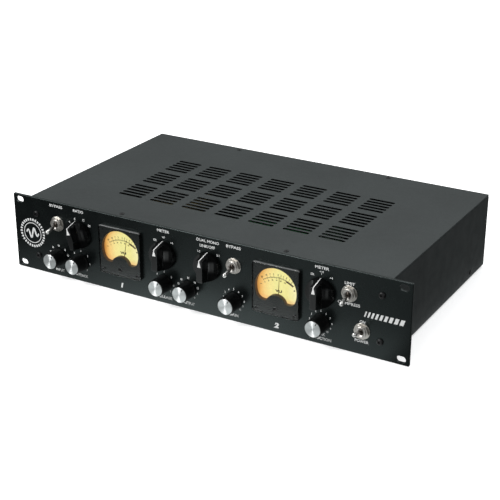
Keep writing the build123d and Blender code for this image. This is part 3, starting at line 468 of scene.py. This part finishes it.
def spun_metal(name, x, z):
    """Spun knob cap: concentric turning lines and two painted highlight fans opposite each other."""
    base = (0.70, 0.725, 0.725)
    rings = 5200.0  # noise steps per metre of radius
    fan_turn, fan_sharpness, fan_amount = -0.14, 7.0, 0.55  # radians, power, share of white
    g = new_material(name)
    offset = g.make("VectorMath", g.place, (x * MM, 0, z * MM), operation="SUBTRACT")
    away_x, _, away_z = g.split(offset)
    flat = g.make("CombineXYZ", X=away_x, Z=away_z)
    radius = g.node("VectorMath", flat, operation="LENGTH").outputs["Value"]
    line = g.make("CombineXYZ", X=g.times(radius, rings))
    ring = g.node("TexNoise", Vector=line, Scale=1.0, Detail=3.0, Roughness=0.7).outputs["Fac"]
    # the long axis of the highlight runs out from the centre
    outward = g.make("CombineXYZ", X=away_x, Z=away_z)
    tangent = g.make("VectorTransform", g.make("VectorMath", outward, operation="NORMALIZE"),
                     vector_type="VECTOR", convert_from="OBJECT", convert_to="WORLD")
    # painted highlight: two bright fans mixed into the colour
    angle = g.calc("ARCTAN2", away_x, away_z)
    lobes = g.size(g.calc("COSINE", g.plus(angle, fan_turn)))
    painted_fan = g.calc("POWER", lobes, fan_sharpness)
    colour = g.ramp(ring, (0.3, scaled(base, 0.82)), (0.7, scaled(base, 1.05)))
    g.finish(g.principled(
        Base_Color=g.mix(g.times(painted_fan, fan_amount), colour, (0.92, 0.93, 0.93)), Roughness=0.50,
        Normal=g.bump(ring, strength=0.25, distance=0.00004, Normal=g.bevel(radius=0.0002)),
        Metallic=0.86, Anisotropic=0.88, Tangent=tangent))


def lever_metal(name, x, z):
    """Chromed bat lever: dark painted shade near the pivot and a bright satin handle."""
    pivot_y = -0.004
    g = new_material(name)
    away = g.node("VectorMath", g.place, (x * MM, pivot_y, z * MM),
                  operation="DISTANCE").outputs["Value"]
    smear = g.noise(scale=260.0, detail=3.0, rough=0.6)
    reach = g.plus(g.times(away, 1000.0), g.times(smear, 0.8))  # mm, with an uneven border
    # painted shade near the pivot
    pivot_shade = g.smoothstep(reach, start=17.5, end=5.5)
    chrome = g.mix(smear, (0.66, 0.65, 0.63), (0.80, 0.79, 0.77))
    g.finish(g.principled(
        Base_Color=g.mix(pivot_shade, chrome, (0.05, 0.042, 0.036)),
        Roughness=g.ramp(smear, (0.3, 0.18), (0.7, 0.28)),
        Normal=g.bump(smear, strength=0.05, distance=0.00004, Normal=g.bevel(radius=0.0002)),
        Metallic=0.9))


powder_coat("panel_paint", (0.0030, 0.0040, 0.0040), rough=0.26, grain=2600.0, spec=0.40,
            sheen=(0.84, 1.0, 0.99), corner_tint=(0.075, 0.082, 0.08), corner_share=0.5, peel=0.14)
CASE_COAT = dict(grain=1900.0, sheen=(0.9, 1.0, 1.0), corner_tint=(0.09, 0.09, 0.09), corner_share=0.4)
# the cover's slot walls get painted shade
powder_coat("cover_paint", (0.0120, 0.0145, 0.0145), rough=0.50, spec=0.5, slots=True, **CASE_COAT)
powder_coat("chassis_paint", (0.0095, 0.0115, 0.0115), rough=0.46, spec=0.45, **CASE_COAT)
plastic("black_steel", (0.006, 0.006, 0.0065), rough=0.34, spec=0.38, grain=900.0, bump=0.2)
# no piece wears knob_black; it is the slot name of the knob markings
plastic("knob_black", (0.0018, 0.0020, 0.0021), rough=0.20, spec=0.48, coat=0.2, bump=0.05)
plastic("round_knob_black", (0.0020, 0.0022, 0.0023), rough=0.44, spec=0.2)
metal("nickel", (0.62, 0.59, 0.55), rough=0.36, scratch=0.2, bump=0.05)
metal("shaft_steel", (0.62, 0.59, 0.53), rough=0.3, brush=(1, 12, 1))
plastic("inlet_plastic", (0.012, 0.012, 0.013), rough=0.42)
plastic("connector_black", (0.016, 0.016, 0.017), rough=0.3, spec=0.7)
metal("latch_metal", (0.6, 0.6, 0.58), rough=0.3, brush=(12, 1, 1))
metal("brass_hex", (0.72, 0.55, 0.25), rough=0.3)
metal("zinc_steel", (0.62, 0.62, 0.6), rough=0.35, scratch=0.2)
plastic("toroid_core", (0.16, 0.13, 0.05), rough=0.35, grain=500.0, mottle=0.4)
metal("transformer_can", (0.35, 0.35, 0.36), rough=0.42, brush=(1, 1, 10))
metal("opto_can", (0.68, 0.69, 0.7), rough=0.28, brush=(1, 1, 14))
metal("pot_body", (0.6, 0.57, 0.5), rough=0.35)
plastic("switch_body", (0.05, 0.035, 0.02), rough=0.5)
plastic("meter_can", (0.02, 0.02, 0.02), rough=0.45, grain=1200.0)
plastic("lamp_glass", (0.9, 0.7, 0.35), rough=0.15)
ink("needle_black", (0.40, 0.32, 0.10), rough=0.5)
ink("print_white", (0.78, 0.79, 0.78))
ink("print_black", (0.075, 0.058, 0.022))
plastic("screw_black", (0.0025, 0.0026, 0.0026), rough=0.45, spec=0.2)
ink("print_red", (0.075, 0.022, 0.01))
ink("paint_white", (0.9, 0.9, 0.89), rough=0.4)
ink("paint_black", (0.02, 0.02, 0.02), rough=0.4)
toggle_metal()
meter_clear()
meter_black()
dial_cream()
board_green()

CAD_MATERIAL = {
    "front_panel": "panel_paint", "chassis_tray": "chassis_paint",
    "rear_panel": "chassis_paint", "top_cover": "cover_paint",
    "panel_screws": "black_steel", "chassis_screws": "black_steel",
    "rotary_switches": "switch_body", "potentiometers": "pot_body",
    "shaft_nuts": "nickel", "toggle_bodies": "toggle_metal",
    "toggle_washers": "nickel", "toggle_nuts": "nickel",
    "meter_bezels": "meter_black", "meter_windows": "meter_clear",
    "meter_dials": "dial_cream", "meter_cans": "meter_can", "meter_lamps": "lamp_glass",
    "meter_needle_1": "needle_black", "meter_needle_2": "needle_black",
    "power_inlet": "inlet_plastic", "xlr_inputs": "connector_black",
    "xlr_outputs": "connector_black", "main_board": "board_green",
    "board_standoffs": "brass_hex", "power_transformer": "toroid_core",
    "transformer_bolt": "zinc_steel", "audio_transformers": "transformer_can",
    "opto_cell": "opto_can", "input_latch_1": "latch_metal", "input_latch_2": "latch_metal",
}
for knob in SELECTORS:
    selector_black("gloss_" + knob, *knob_centre(knob))
    CAD_MATERIAL[knob] = "gloss_" + knob
    CAD_MATERIAL[shaft_of(knob)] = "shaft_steel"
for knob in POTS:
    spun_metal("spun_" + knob, *knob_centre(knob))
    CAD_MATERIAL[knob] = "round_knob_black"
    CAD_MATERIAL[shaft_of(knob)] = "shaft_steel"
    CAD_MATERIAL[knob + "_cap"] = "spun_" + knob
for lever, pivot in LEVERS.items():
    lever_metal("metal_" + lever, *pivot)
    CAD_MATERIAL[lever] = "metal_" + lever


def dress(piece, material):
    """One skin, smooth across shallow angles and crisp at real corners."""
    piece.data.materials.clear()
    piece.data.materials.append(material)
    weld = piece.modifiers.new("weld", "WELD")
    weld.merge_threshold = 0.000002
    for polygon in piece.data.polygons:
        polygon.use_smooth = True
    corners = piece.modifiers.new("corners", "EDGE_SPLIT")
    corners.split_angle = math.radians(28)
    corners.use_edge_sharp = False
    flats = piece.modifiers.new("flats", "WEIGHTED_NORMAL")
    flats.mode = "FACE_AREA"
    flats.weight = 100
    flats.keep_sharp = True


for name, piece in NODES.items():
    dress(piece, MATERIALS[CAD_MATERIAL[name]])


# ------------------------------------------------------------- mesh building
# Outlines are (x, z) in mm, depths are (back, front) and angles run clockwise from straight up.
def new_piece(name, bm, material, body):
    bmesh.ops.remove_doubles(bm, verts=bm.verts, dist=1e-7)
    bmesh.ops.recalc_face_normals(bm, faces=bm.faces)
    mesh = bpy.data.meshes.new(name)
    bm.to_mesh(mesh)
    bm.free()
    mesh.materials.append(MATERIALS[material])
    piece = bpy.data.objects.new(name, mesh)
    scene.collection.objects.link(piece)
    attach(piece, body)


def at(x, z, depth):
    return Vector((x * MM, -depth * MM, z * MM))


def polar(centre, radius, angle):
    turn = math.radians(angle)
    return centre[0] + radius * math.sin(turn), centre[1] + radius * math.cos(turn)


def turned(centre, angle, across, along):
    """(x, z) of a point given in a frame turned clockwise about centre."""
    turn = math.radians(angle)
    cos, sin = math.cos(turn), math.sin(turn)
    return centre[0] + across * cos + along * sin, centre[1] - across * sin + along * cos


def loop_at(bm, outline, depth):
    return [bm.verts.new(at(x, z, depth)) for x, z in outline]


def bridge(bm, first, second):
    """Quads between two closed loops of the same count."""
    for i in range(len(first)):
        j = (i + 1) % len(first)
        bm.faces.new((first[i], first[j], second[j], second[i]))


def prism(bm, outline, depths):
    """Flat plate."""
    back, front = (loop_at(bm, outline, depth) for depth in depths)
    bm.faces.new(front)
    bm.faces.new(list(reversed(back)))
    bridge(bm, back, front)


def rectangle(bm, left, right, bottom, top, depths):
    prism(bm, [(left, bottom), (right, bottom), (right, top), (left, top)], depths)


def band(bm, centre, inner, outer, start, end, depths, steps=None):
    """Arc-shaped plate, or a closed ring when it spans 360 degrees."""
    back, front = depths
    steps = steps or int((end - start) / 3)
    full = end - start == 360
    rings = []
    for i in range(steps + (0 if full else 1)):
        angle = start + (end - start) * i / steps
        near, far = polar(centre, inner, angle), polar(centre, outer, angle)
        section = ((near, back), (far, back), (far, front), (near, front))
        rings.append([bm.verts.new(at(*point, depth)) for point, depth in section])
    for i in range(steps):
        bridge(bm, rings[i], rings[(i + 1) % len(rings)])
    if not full:
        bm.faces.new(rings[0])
        bm.faces.new(list(reversed(rings[-1])))


def tick(bm, centre, inner, outer, angle, width, depths):
    """Short bar pointing out from centre."""
    half = width / 2
    corners = ((-half, inner), (half, inner), (half, outer), (-half, outer))
    prism(bm, [turned(centre, angle, *corner) for corner in corners], depths)


CAPITAL = 0.729  # height of a capital in the built-in font at size 1


def lettering(bm, text, centre, cap, depths, width=None, squeeze=0.86, bold=0.02, turn=0.0,
              slant=0.0):
    """Flat raised text with capitals cap mm high, fitted to a width or squeezed."""
    back, front = depths
    curve = bpy.data.curves.new("lettering", "FONT")
    curve.body = text
    curve.size = 1.0
    curve.offset = bold
    curve.extrude = 0.5
    curve.resolution_u = 3
    holder = bpy.data.objects.new("lettering", curve)
    scene.collection.objects.link(holder)
    bpy.context.view_layer.update()
    evaluated = holder.evaluated_get(bpy.context.evaluated_depsgraph_get())
    mesh = bpy.data.meshes.new_from_object(evaluated)
    xs = [vertex.co.x for vertex in mesh.vertices]
    scale_z = cap / (CAPITAL + 2 * bold)
    scale_x = width / (max(xs) - min(xs)) if width else scale_z * squeeze
    middle = (max(xs) + min(xs)) / 2
    for vertex in mesh.vertices:
        along = (vertex.co.y - CAPITAL / 2) * scale_z
        across = (vertex.co.x - middle) * scale_x + slant * along
        depth = back + (vertex.co.z + 0.5) * (front - back)
        vertex.co = at(*turned(centre, turn, across, along), depth)
    bm.from_mesh(mesh)
    bpy.data.meshes.remove(mesh)
    bpy.data.objects.remove(holder)
    bpy.data.curves.remove(curve)


# ----------------------------------------------------------- panel printing
PANEL_FACE = 3.0
PANEL_PRINT = (PANEL_FACE - 0.01, PANEL_FACE + 0.05)
TOP_ROW, BOTTOM_ROW = 39.3, -36.6
LABEL_CAP = 3.3

# text, x, z, width
LABELS = (
    ("BYPASS", -181.8, TOP_ROW, 17.3), ("RATIO", -151.3, TOP_ROW, 13.6),
    ("METER", -40.6, TOP_ROW, 15.3), ("DUAL MONO", 14.1, TOP_ROW, 27.0),
    ("LINK/OFF", 13.6, 33.4, 18.5), ("BYPASS", 44.8, TOP_ROW, 17.3),
    ("METER", 145.4, TOP_ROW, 15.3), ("LIMIT", 175.6, 29.5, 11.0),
    ("COMPRESS", 175.3, 7.9, 24.0), ("ON", 190.5, -8.2, 6.0), ("POWER", 190.5, -29.3, 15.0),
    ("INPUT", -181.0, BOTTOM_ROW, 12.0), ("ATTACK", -150.7, BOTTOM_ROW, 16.5),
    ("RELEASE", -40.6, BOTTOM_ROW, 18.5), ("OUTPUT", -10.7, BOTTOM_ROW, 15.5),
    ("GAIN", 45.0, BOTTOM_ROW, 11.0), ("PEAK", 145.5, -32.6, 11.0),
    ("REDUCTION", 145.5, -37.6, 24.0),
)
# positions round the selectors: text, x, z, capital height
SELECTOR_MARKS = (
    ("4", -164.1, 24.9, 2.8), ("8", -156.6, 29.6, 2.8), ("12", -144.7, 30.3, 2.8),
    ("20", -137.3, 25.2, 2.8), ("GR", -51.1, 27.3, 2.6), ("+8", -40.6, 32.3, 2.6),
    ("+4", -30.2, 27.9, 2.6), ("1-2", 3.2, 26.2, 2.6), ("2-1", 26.3, 26.2, 2.6),
    ("GR", 134.9, 30.4, 2.6), ("+10", 145.0, 35.0, 2.4), ("+4", 155.6, 30.6, 2.6),
)


def print_on_panel(name, bm):
    new_piece(name, bm, "print_white", "chassis")


def panel_lettering():
    bm = bmesh.new()
    for text, x, z, width in LABELS:
        lettering(bm, text, (x, z), LABEL_CAP, PANEL_PRINT, width=width)
    # channel numbers under the meters
    for text, centre in (("1", (-96.2, -35.8)), ("2", (95.9, -35.9))):
        lettering(bm, text, centre, 6.3, PANEL_PRINT, bold=0.06, slant=0.22, squeeze=1.25)
    print_on_panel("panel_lettering", bm)


def mark_radius(angle):
    """The words draw in towards the knob lower down its scale."""
    for limit, radius in ((10, 13.1), (90, 12.6), (120, 11.8)):
        if abs(angle) < limit:
            return radius
    return 11.4


def panel_scales():
    bm = bmesh.new()
    for knob, (_, scale) in POTS.items():
        centre = knob_centre(knob)
        for angle, word in scale:
            lettering(bm, word, polar(centre, mark_radius(angle), angle), 2.45, PANEL_PRINT,
                      bold=0.03, squeeze=0.85)
    for text, x, z, cap in SELECTOR_MARKS:
        lettering(bm, text, (x, z), cap, PANEL_PRINT, bold=0.022, squeeze=0.92)
    # short line under the +10 mark
    tick(bm, (144.8, 12.6), inner=19.2, outer=20.8, angle=0.5, width=0.5, depths=PANEL_PRINT)
    print_on_panel("panel_scales", bm)


def panel_emblem():
    """Round badge at the left: a ring, 30 graduations and a two-cycle wave."""
    x, z = centre = (-217.3, 0.6)
    graduations = 30
    pitch = 360 // graduations
    half_span, swing, least_swing = 8.8, 5.6, 0.6
    half_line = 1.0
    steps = 64
    bm = bmesh.new()
    band(bm, centre, 11.4, 12.2, 0, 360, PANEL_PRINT, steps=96)
    for i in range(graduations):
        start = i * pitch
        band(bm, centre, 14.4, 17.2, start + 2.2, start + 9.4, PANEL_PRINT, steps=4)
    upper, lower = [], []
    for i in range(steps + 1):
        along = -half_span + 2 * half_span * i / steps
        share = along / half_span
        swell = swing * math.cos(share * math.pi / 2) + least_swing
        rise = swell * math.sin(share * 2 * math.pi)
        slope = swell * 2 * math.pi / half_span * math.cos(share * 2 * math.pi)
        offset = half_line / math.sqrt(1 + slope * slope)
        upper.append((x + along - slope * offset, z + rise + offset))
        lower.append((x + along + slope * offset, z + rise - offset))
    for i in range(steps):
        prism(bm, [lower[i], lower[i + 1], upper[i + 1], upper[i]], PANEL_PRINT)
    print_on_panel("panel_emblem", bm)


def panel_bars():
    """Nine slanted bars at the right that widen towards the edge."""
    bottom, top, lean, gap = -2.1, 4.0, 2.0, 2.05
    bm = bmesh.new()
    left = 191.7
    for i in range(9):
        width = 1.5 + 0.32 * i
        right = left + width
        outline = [(left, bottom), (right, bottom), (right + lean, top), (left + lean, top)]
        prism(bm, outline, PANEL_PRINT)
        left = right + gap
    print_on_panel("panel_bars", bm)


# ------------------------------------------------------------- knob markings
POINTER_HALF_WIDTH = 0.46
# pointer line up the knob's end face: outer radius, inner radius, depth
POINTER_LINE = ((15.74, 15.52, 3.7), (15.53, 15.33, 6.2), (12.16, 11.86, 20.4))
# wedge on the knob's front: across, along
POINTER_WEDGE = ((-0.5, 11.9), (-0.62, 10.2), (-2.02, 5.06), (2.02, 5.06), (0.62, 10.2), (0.5, 11.9))
WEDGE_DEPTHS = (20.26, 20.57)
INDICATOR_DEPTHS = (20.62, 20.84)


def selector_pointer(knob, body, angle):
    centre = knob_centre(knob)
    half = POINTER_HALF_WIDTH
    bm = bmesh.new()

    def turned_loop(points, depth):
        return loop_at(bm, [turned(centre, angle, *point) for point in points], depth)

    rows = [turned_loop(((-half, outer), (half, outer), (half, inner), (-half, inner)), depth)
            for outer, inner, depth in POINTER_LINE]
    for lower, upper in zip(rows, rows[1:]):
        bridge(bm, lower, upper)
    bm.faces.new(rows[0])
    bm.faces.new(rows[-1])
    back, front = (turned_loop(POINTER_WEDGE, depth) for depth in WEDGE_DEPTHS)
    bm.faces.new(front)
    bm.faces.new(back)
    bridge(bm, back, front)
    new_piece(knob + "_pointer", bm, "paint_white", body)


def pot_indicator(knob, body):
    bm = bmesh.new()
    tick(bm, knob_centre(knob), inner=5.45, outer=8.1, angle=30.0, width=0.94,
         depths=INDICATOR_DEPTHS)
    new_piece(knob + "_indicator", bm, "paint_black", body)


# ------------------------------------------------------------- meter printing
DIAL_PRINT = (0.19, 0.235)
NEEDLE_PIVOT_Z = -14.0
ZERO = 0.73  # share of the sweep at the 0 mark, where red takes over
# share of the sweep, word
VU_SCALE = (
    (0.0, "20"), (0.15, "10"), (0.26, "7"), (0.36, "5"), (0.49, "3"), (0.57, "2"),
    (0.645, "1"), (ZERO, "0"), (0.815, "1"), (0.905, "2"), (1.0, "3"),
)
# cover screws: x from the meter's centre, z, radius; the first is the zero adjuster
COVER_SCREWS = ((0, -16.0, 2.0), (-22.0, -19.2, 1.4), (22.0, -19.2, 1.4))
# domed head, back to front: share of the radius, depth
SCREW_PROFILE = ((0.0, 6.52), (0.9, 6.52), (1.0, 6.6), (1.0, 6.8), (0.8, 7.02), (0.0, 7.08))
SCREW_SIDES = 28


def needle_angle(share):
    return -35.2 + 70.6 * share


def dial_prints(number, x):
    pivot = (x, NEEDLE_PIVOT_Z)
    black, red = bmesh.new(), bmesh.new()

    def mark(bm, share, inner, outer, width):
        tick(bm, pivot, inner, outer, needle_angle(share), width, DIAL_PRINT)

    def word_at(bm, word, share, radius, cap, **style):
        angle = needle_angle(share)
        lettering(bm, word, polar(pivot, radius, angle), cap, DIAL_PRINT, turn=angle, **style)

    band(black, pivot, 29.5, 29.9, needle_angle(0), needle_angle(ZERO), DIAL_PRINT)
    band(red, pivot, 28.2, 29.9, needle_angle(0.745), needle_angle(1.0), DIAL_PRINT)
    for share, word in VU_SCALE:
        colour = red if share >= ZERO else black
        mark(colour, share, inner=29.7, outer=31.3, width=0.4)
        word_at(colour, word, share, radius=33.0, cap=2.1, bold=0.03, squeeze=0.85)
    for (start, _), (end, _) in zip(VU_SCALE, VU_SCALE[1:]):
        for quarter in (1, 2, 3):
            share = start + (end - start) * quarter / 4
            mark(red if share > ZERO else black, share, inner=29.7, outer=30.6, width=0.22)
    # inner scale, 0 to 100 with a mark every ten
    for tens in range(0, 11, 2):
        share = ZERO * tens / 10
        mark(black, share, inner=28.4, outer=29.6, width=0.35)
        word_at(black, str(tens * 10), share, radius=26.9, cap=1.7, bold=0.02, squeeze=0.8)
    for tens in range(1, 10, 2):
        mark(black, ZERO * tens / 10, inner=28.8, outer=29.6, width=0.22)
    # minus sign at the left, plus sign at the right, and the unit
    back, front = DIAL_PRINT
    rectangle(black, x - 20.9, x - 18.9, 4.9, 5.5, DIAL_PRINT)
    rectangle(red, x + 17.3, x + 19.3, 5.3, 5.85, DIAL_PRINT)
    rectangle(red, x + 18.03, x + 18.57, 4.6, 6.55, (back, front - 0.005))
    lettering(black, "VU", (x + 0.3, 1.4), 3.1, DIAL_PRINT, width=7.8, bold=0.05)
    new_piece(f"dial_print_{number}", black, "print_black", "chassis")
    new_piece(f"dial_red_{number}", red, "print_red", "chassis")


def meter_cover_screws(number, x):
    bm = bmesh.new()
    for offset, z, radius in COVER_SCREWS:
        centre = (x + offset, z)
        (_, back), *middle, (_, front) = SCREW_PROFILE
        base = bm.verts.new(at(*centre, back))
        rings = []
        for share, depth in middle:
            outline = [polar(centre, radius * share, 360 * i / SCREW_SIDES)
                       for i in range(SCREW_SIDES)]
            rings.append(loop_at(bm, outline, depth))
        tip = bm.verts.new(at(*centre, front))
        for i in range(SCREW_SIDES):
            bm.faces.new((base, rings[0][i], rings[0][(i + 1) % SCREW_SIDES]))
        for lower, upper in zip(rings, rings[1:]):
            bridge(bm, lower, upper)
        for i in range(SCREW_SIDES):
            bm.faces.new((rings[-1][i], rings[-1][(i + 1) % SCREW_SIDES], tip))
    new_piece(f"meter_cover_screws_{number}", bm, "screw_black", "chassis")


panel_lettering()
panel_scales()
panel_emblem()
panel_bars()
for knob, (body, angle) in SELECTORS.items():
    selector_pointer(knob, body, angle)
for knob, (body, _) in POTS.items():
    pot_indicator(knob, body)
for number, x in ((1, -METER_X), (2, METER_X)):
    dial_prints(number, x)
    meter_cover_screws(number, x)

# ---------------------------------------------------------- stage and lights
FLOOR_Z = -0.0447
FLOOR_HALF = 6.0
# brightness of the mirrored floor from back to front edge of the fade: position, level
POOL_DEPTH = ((0.0, 0.24), (0.36, 0.27), (0.63, 0.34), (0.73, 0.50), (0.83, 0.78), (1.0, 1.0))
# the same from left to right
POOL_WIDTH = (
    (0.0, 0.10), (0.10, 0.14), (0.21, 0.33), (0.33, 0.53), (0.49, 0.95),
    (0.68, 1.0), (0.79, 0.72), (0.93, 0.58), (0.965, 0.11), (1.0, 0.09),
)
# mirrored studio from straight down to straight up: position, level
STUDIO_WALLS = ((0.0, 0.10), (0.5, 0.15), (0.62, 0.26), (0.78, 0.37), (1.0, 0.50))
# mirrored bright patches: direction, full and zero radius (degrees), level
STUDIO_PATCHES = (
    ((-0.62, -0.60, 0.50), 9.0, 17.0, 1.9),
    ((0.05, -0.90, 0.42), 7.0, 14.0, 0.9),
    ((0.80, -0.30, 0.52), 8.0, 16.0, 1.0),
    ((0.30, 0.75, 0.60), 12.0, 22.0, 0.7),
    ((-0.90, 0.30, 0.30), 10.0, 18.0, 0.8),
)
MIRROR_TINT = (0.95, 1.0, 1.0)


def by_ray(g, camera, glossy, other):
    """Chooses a shader by the kind of ray that meets it."""
    rays = g.node("LightPath").outputs
    unseen = g.make("MixShader", rays["Is Glossy Ray"], other, glossy)
    return g.make("MixShader", rays["Is Camera Ray"], unseen, camera)


def floor_pale():
    """Pale floor; reflections see a lit pool that falls off to a dim studio."""
    fade_y, fade_gain = 0.25, 4.0  # the fade starts at y = -0.25 and is 1/4 m deep
    half_pool, pool_width = 0.35, 0.6  # left edge and width, in metres
    pool_level = 1.66
    g = new_material("floor_pale")
    x, y, _ = g.split(g.node("NewGeometry").outputs["Position"])
    pale = g.ramp(g.noise(scale=3.0), (0.3, 0.90), (0.7, 0.93))
    seen = g.make("AddShader", g.make("BsdfDiffuse", Color=pale), g.make("Emission", Strength=0.55))
    fall = g.ramp(g.times(g.plus(y, fade_y), fade_gain, clamp=True), *POOL_DEPTH)
    sweep = g.ramp(g.times(g.plus(x, half_pool), 1 / pool_width, clamp=True), *POOL_WIDTH)
    pool = g.times(g.times(fall, sweep), pool_level)
    g.finish(by_ray(g, camera=seen, glossy=g.make("Emission", Color=MIRROR_TINT, Strength=pool),
                    other=g.make("Emission", Strength=0.42)))


def build_floor():
    bm = bmesh.new()
    corners = ((-1, -1), (1, -1), (1, 1), (-1, 1))
    bm.faces.new([bm.verts.new((x * FLOOR_HALF, y * FLOOR_HALF, FLOOR_Z)) for x, y in corners])
    mesh = bpy.data.meshes.new("floor")
    bm.to_mesh(mesh)
    bm.free()
    floor = bpy.data.objects.new("floor", mesh)
    scene.collection.objects.link(floor)
    floor_pale()
    mesh.materials.append(MATERIALS["floor_pale"])


def build_world():
    """White to the camera, even to diffuse rays, a studio with bright patches to glossy ones."""
    wall_gain = 1.0
    world = bpy.data.worlds.new("studio")
    scene.world = world
    g = Graph(world, output="OutputWorld")
    view = g.make("VectorMath", g.coord.outputs["Generated"], operation="NORMALIZE")
    _, _, rise = g.split(view)
    height = g.times(g.plus(rise, 1.0), 0.5)
    total = g.times(g.ramp(height, *STUDIO_WALLS), wall_gain)
    for direction, inner, outer, level in STUDIO_PATCHES:
        facing = g.dot(view, Vector(direction).normalized())
        patch = g.smoothstep(facing, start=math.cos(math.radians(outer)),
                             end=math.cos(math.radians(inner)), top=level)
        total = g.plus(total, patch)
    g.finish(by_ray(
        g, camera=g.make("Background", Color=(1, 1, 1), Strength=1.0),
        glossy=g.make("Background", Color=MIRROR_TINT, Strength=total),
        other=g.make("Background", Color=(0.97, 0.985, 1.0), Strength=0.62)))


def softbox(name, location, target, width, height, power):
    light = bpy.data.lights.new(name, "AREA")
    light.shape = "RECTANGLE"
    light.size = width
    light.size_y = height
    light.energy = power
    lamp = bpy.data.objects.new(name, light)
    scene.collection.objects.link(lamp)
    lamp.location = location
    aim = Vector(target) - Vector(location)
    lamp.rotation_euler = aim.to_track_quat("-Z", "Y").to_euler()
    lamp.visible_camera = False


build_floor()
build_world()
softbox("key", (-1.1, -1.3, 1.5), target=(0, 0.05, 0), width=0.9, height=0.9, power=26)
softbox("top", (-0.2, 0.9, 1.5), target=(0, 0.1, 0), width=1.6, height=1.0, power=14)
softbox("front_strip", (-0.75, -1.6, 0.25), target=(0, 0, 0), width=0.25, height=1.3, power=7)

# --------------------------------------------------------------------- camera
CAMERA_PLACE = Vector((0.62851, -0.98027, 0.52623))
CAMERA_RIGHT = Vector((0.86561418, 0.50070868, 0.00170618))
CAMERA_DOWN = Vector((0.19931067, -0.341434, -0.91853039))
CAMERA_FORWARD = Vector((-0.4593336, 0.79543299, -0.39534669))

camera_data = bpy.data.cameras.new("camera")
camera_data.sensor_width = 36.0
camera_data.lens = 88.15392
camera_data.clip_start = 0.01
camera = bpy.data.objects.new("camera", camera_data)
scene.collection.objects.link(camera)
axes = Matrix((CAMERA_RIGHT, -CAMERA_DOWN, -CAMERA_FORWARD)).transposed().to_4x4()
camera.matrix_world = Matrix.Translation(CAMERA_PLACE) @ axes
scene.camera = camera
scene.view_settings.view_transform = "Standard"
scene.view_settings.look = "None"
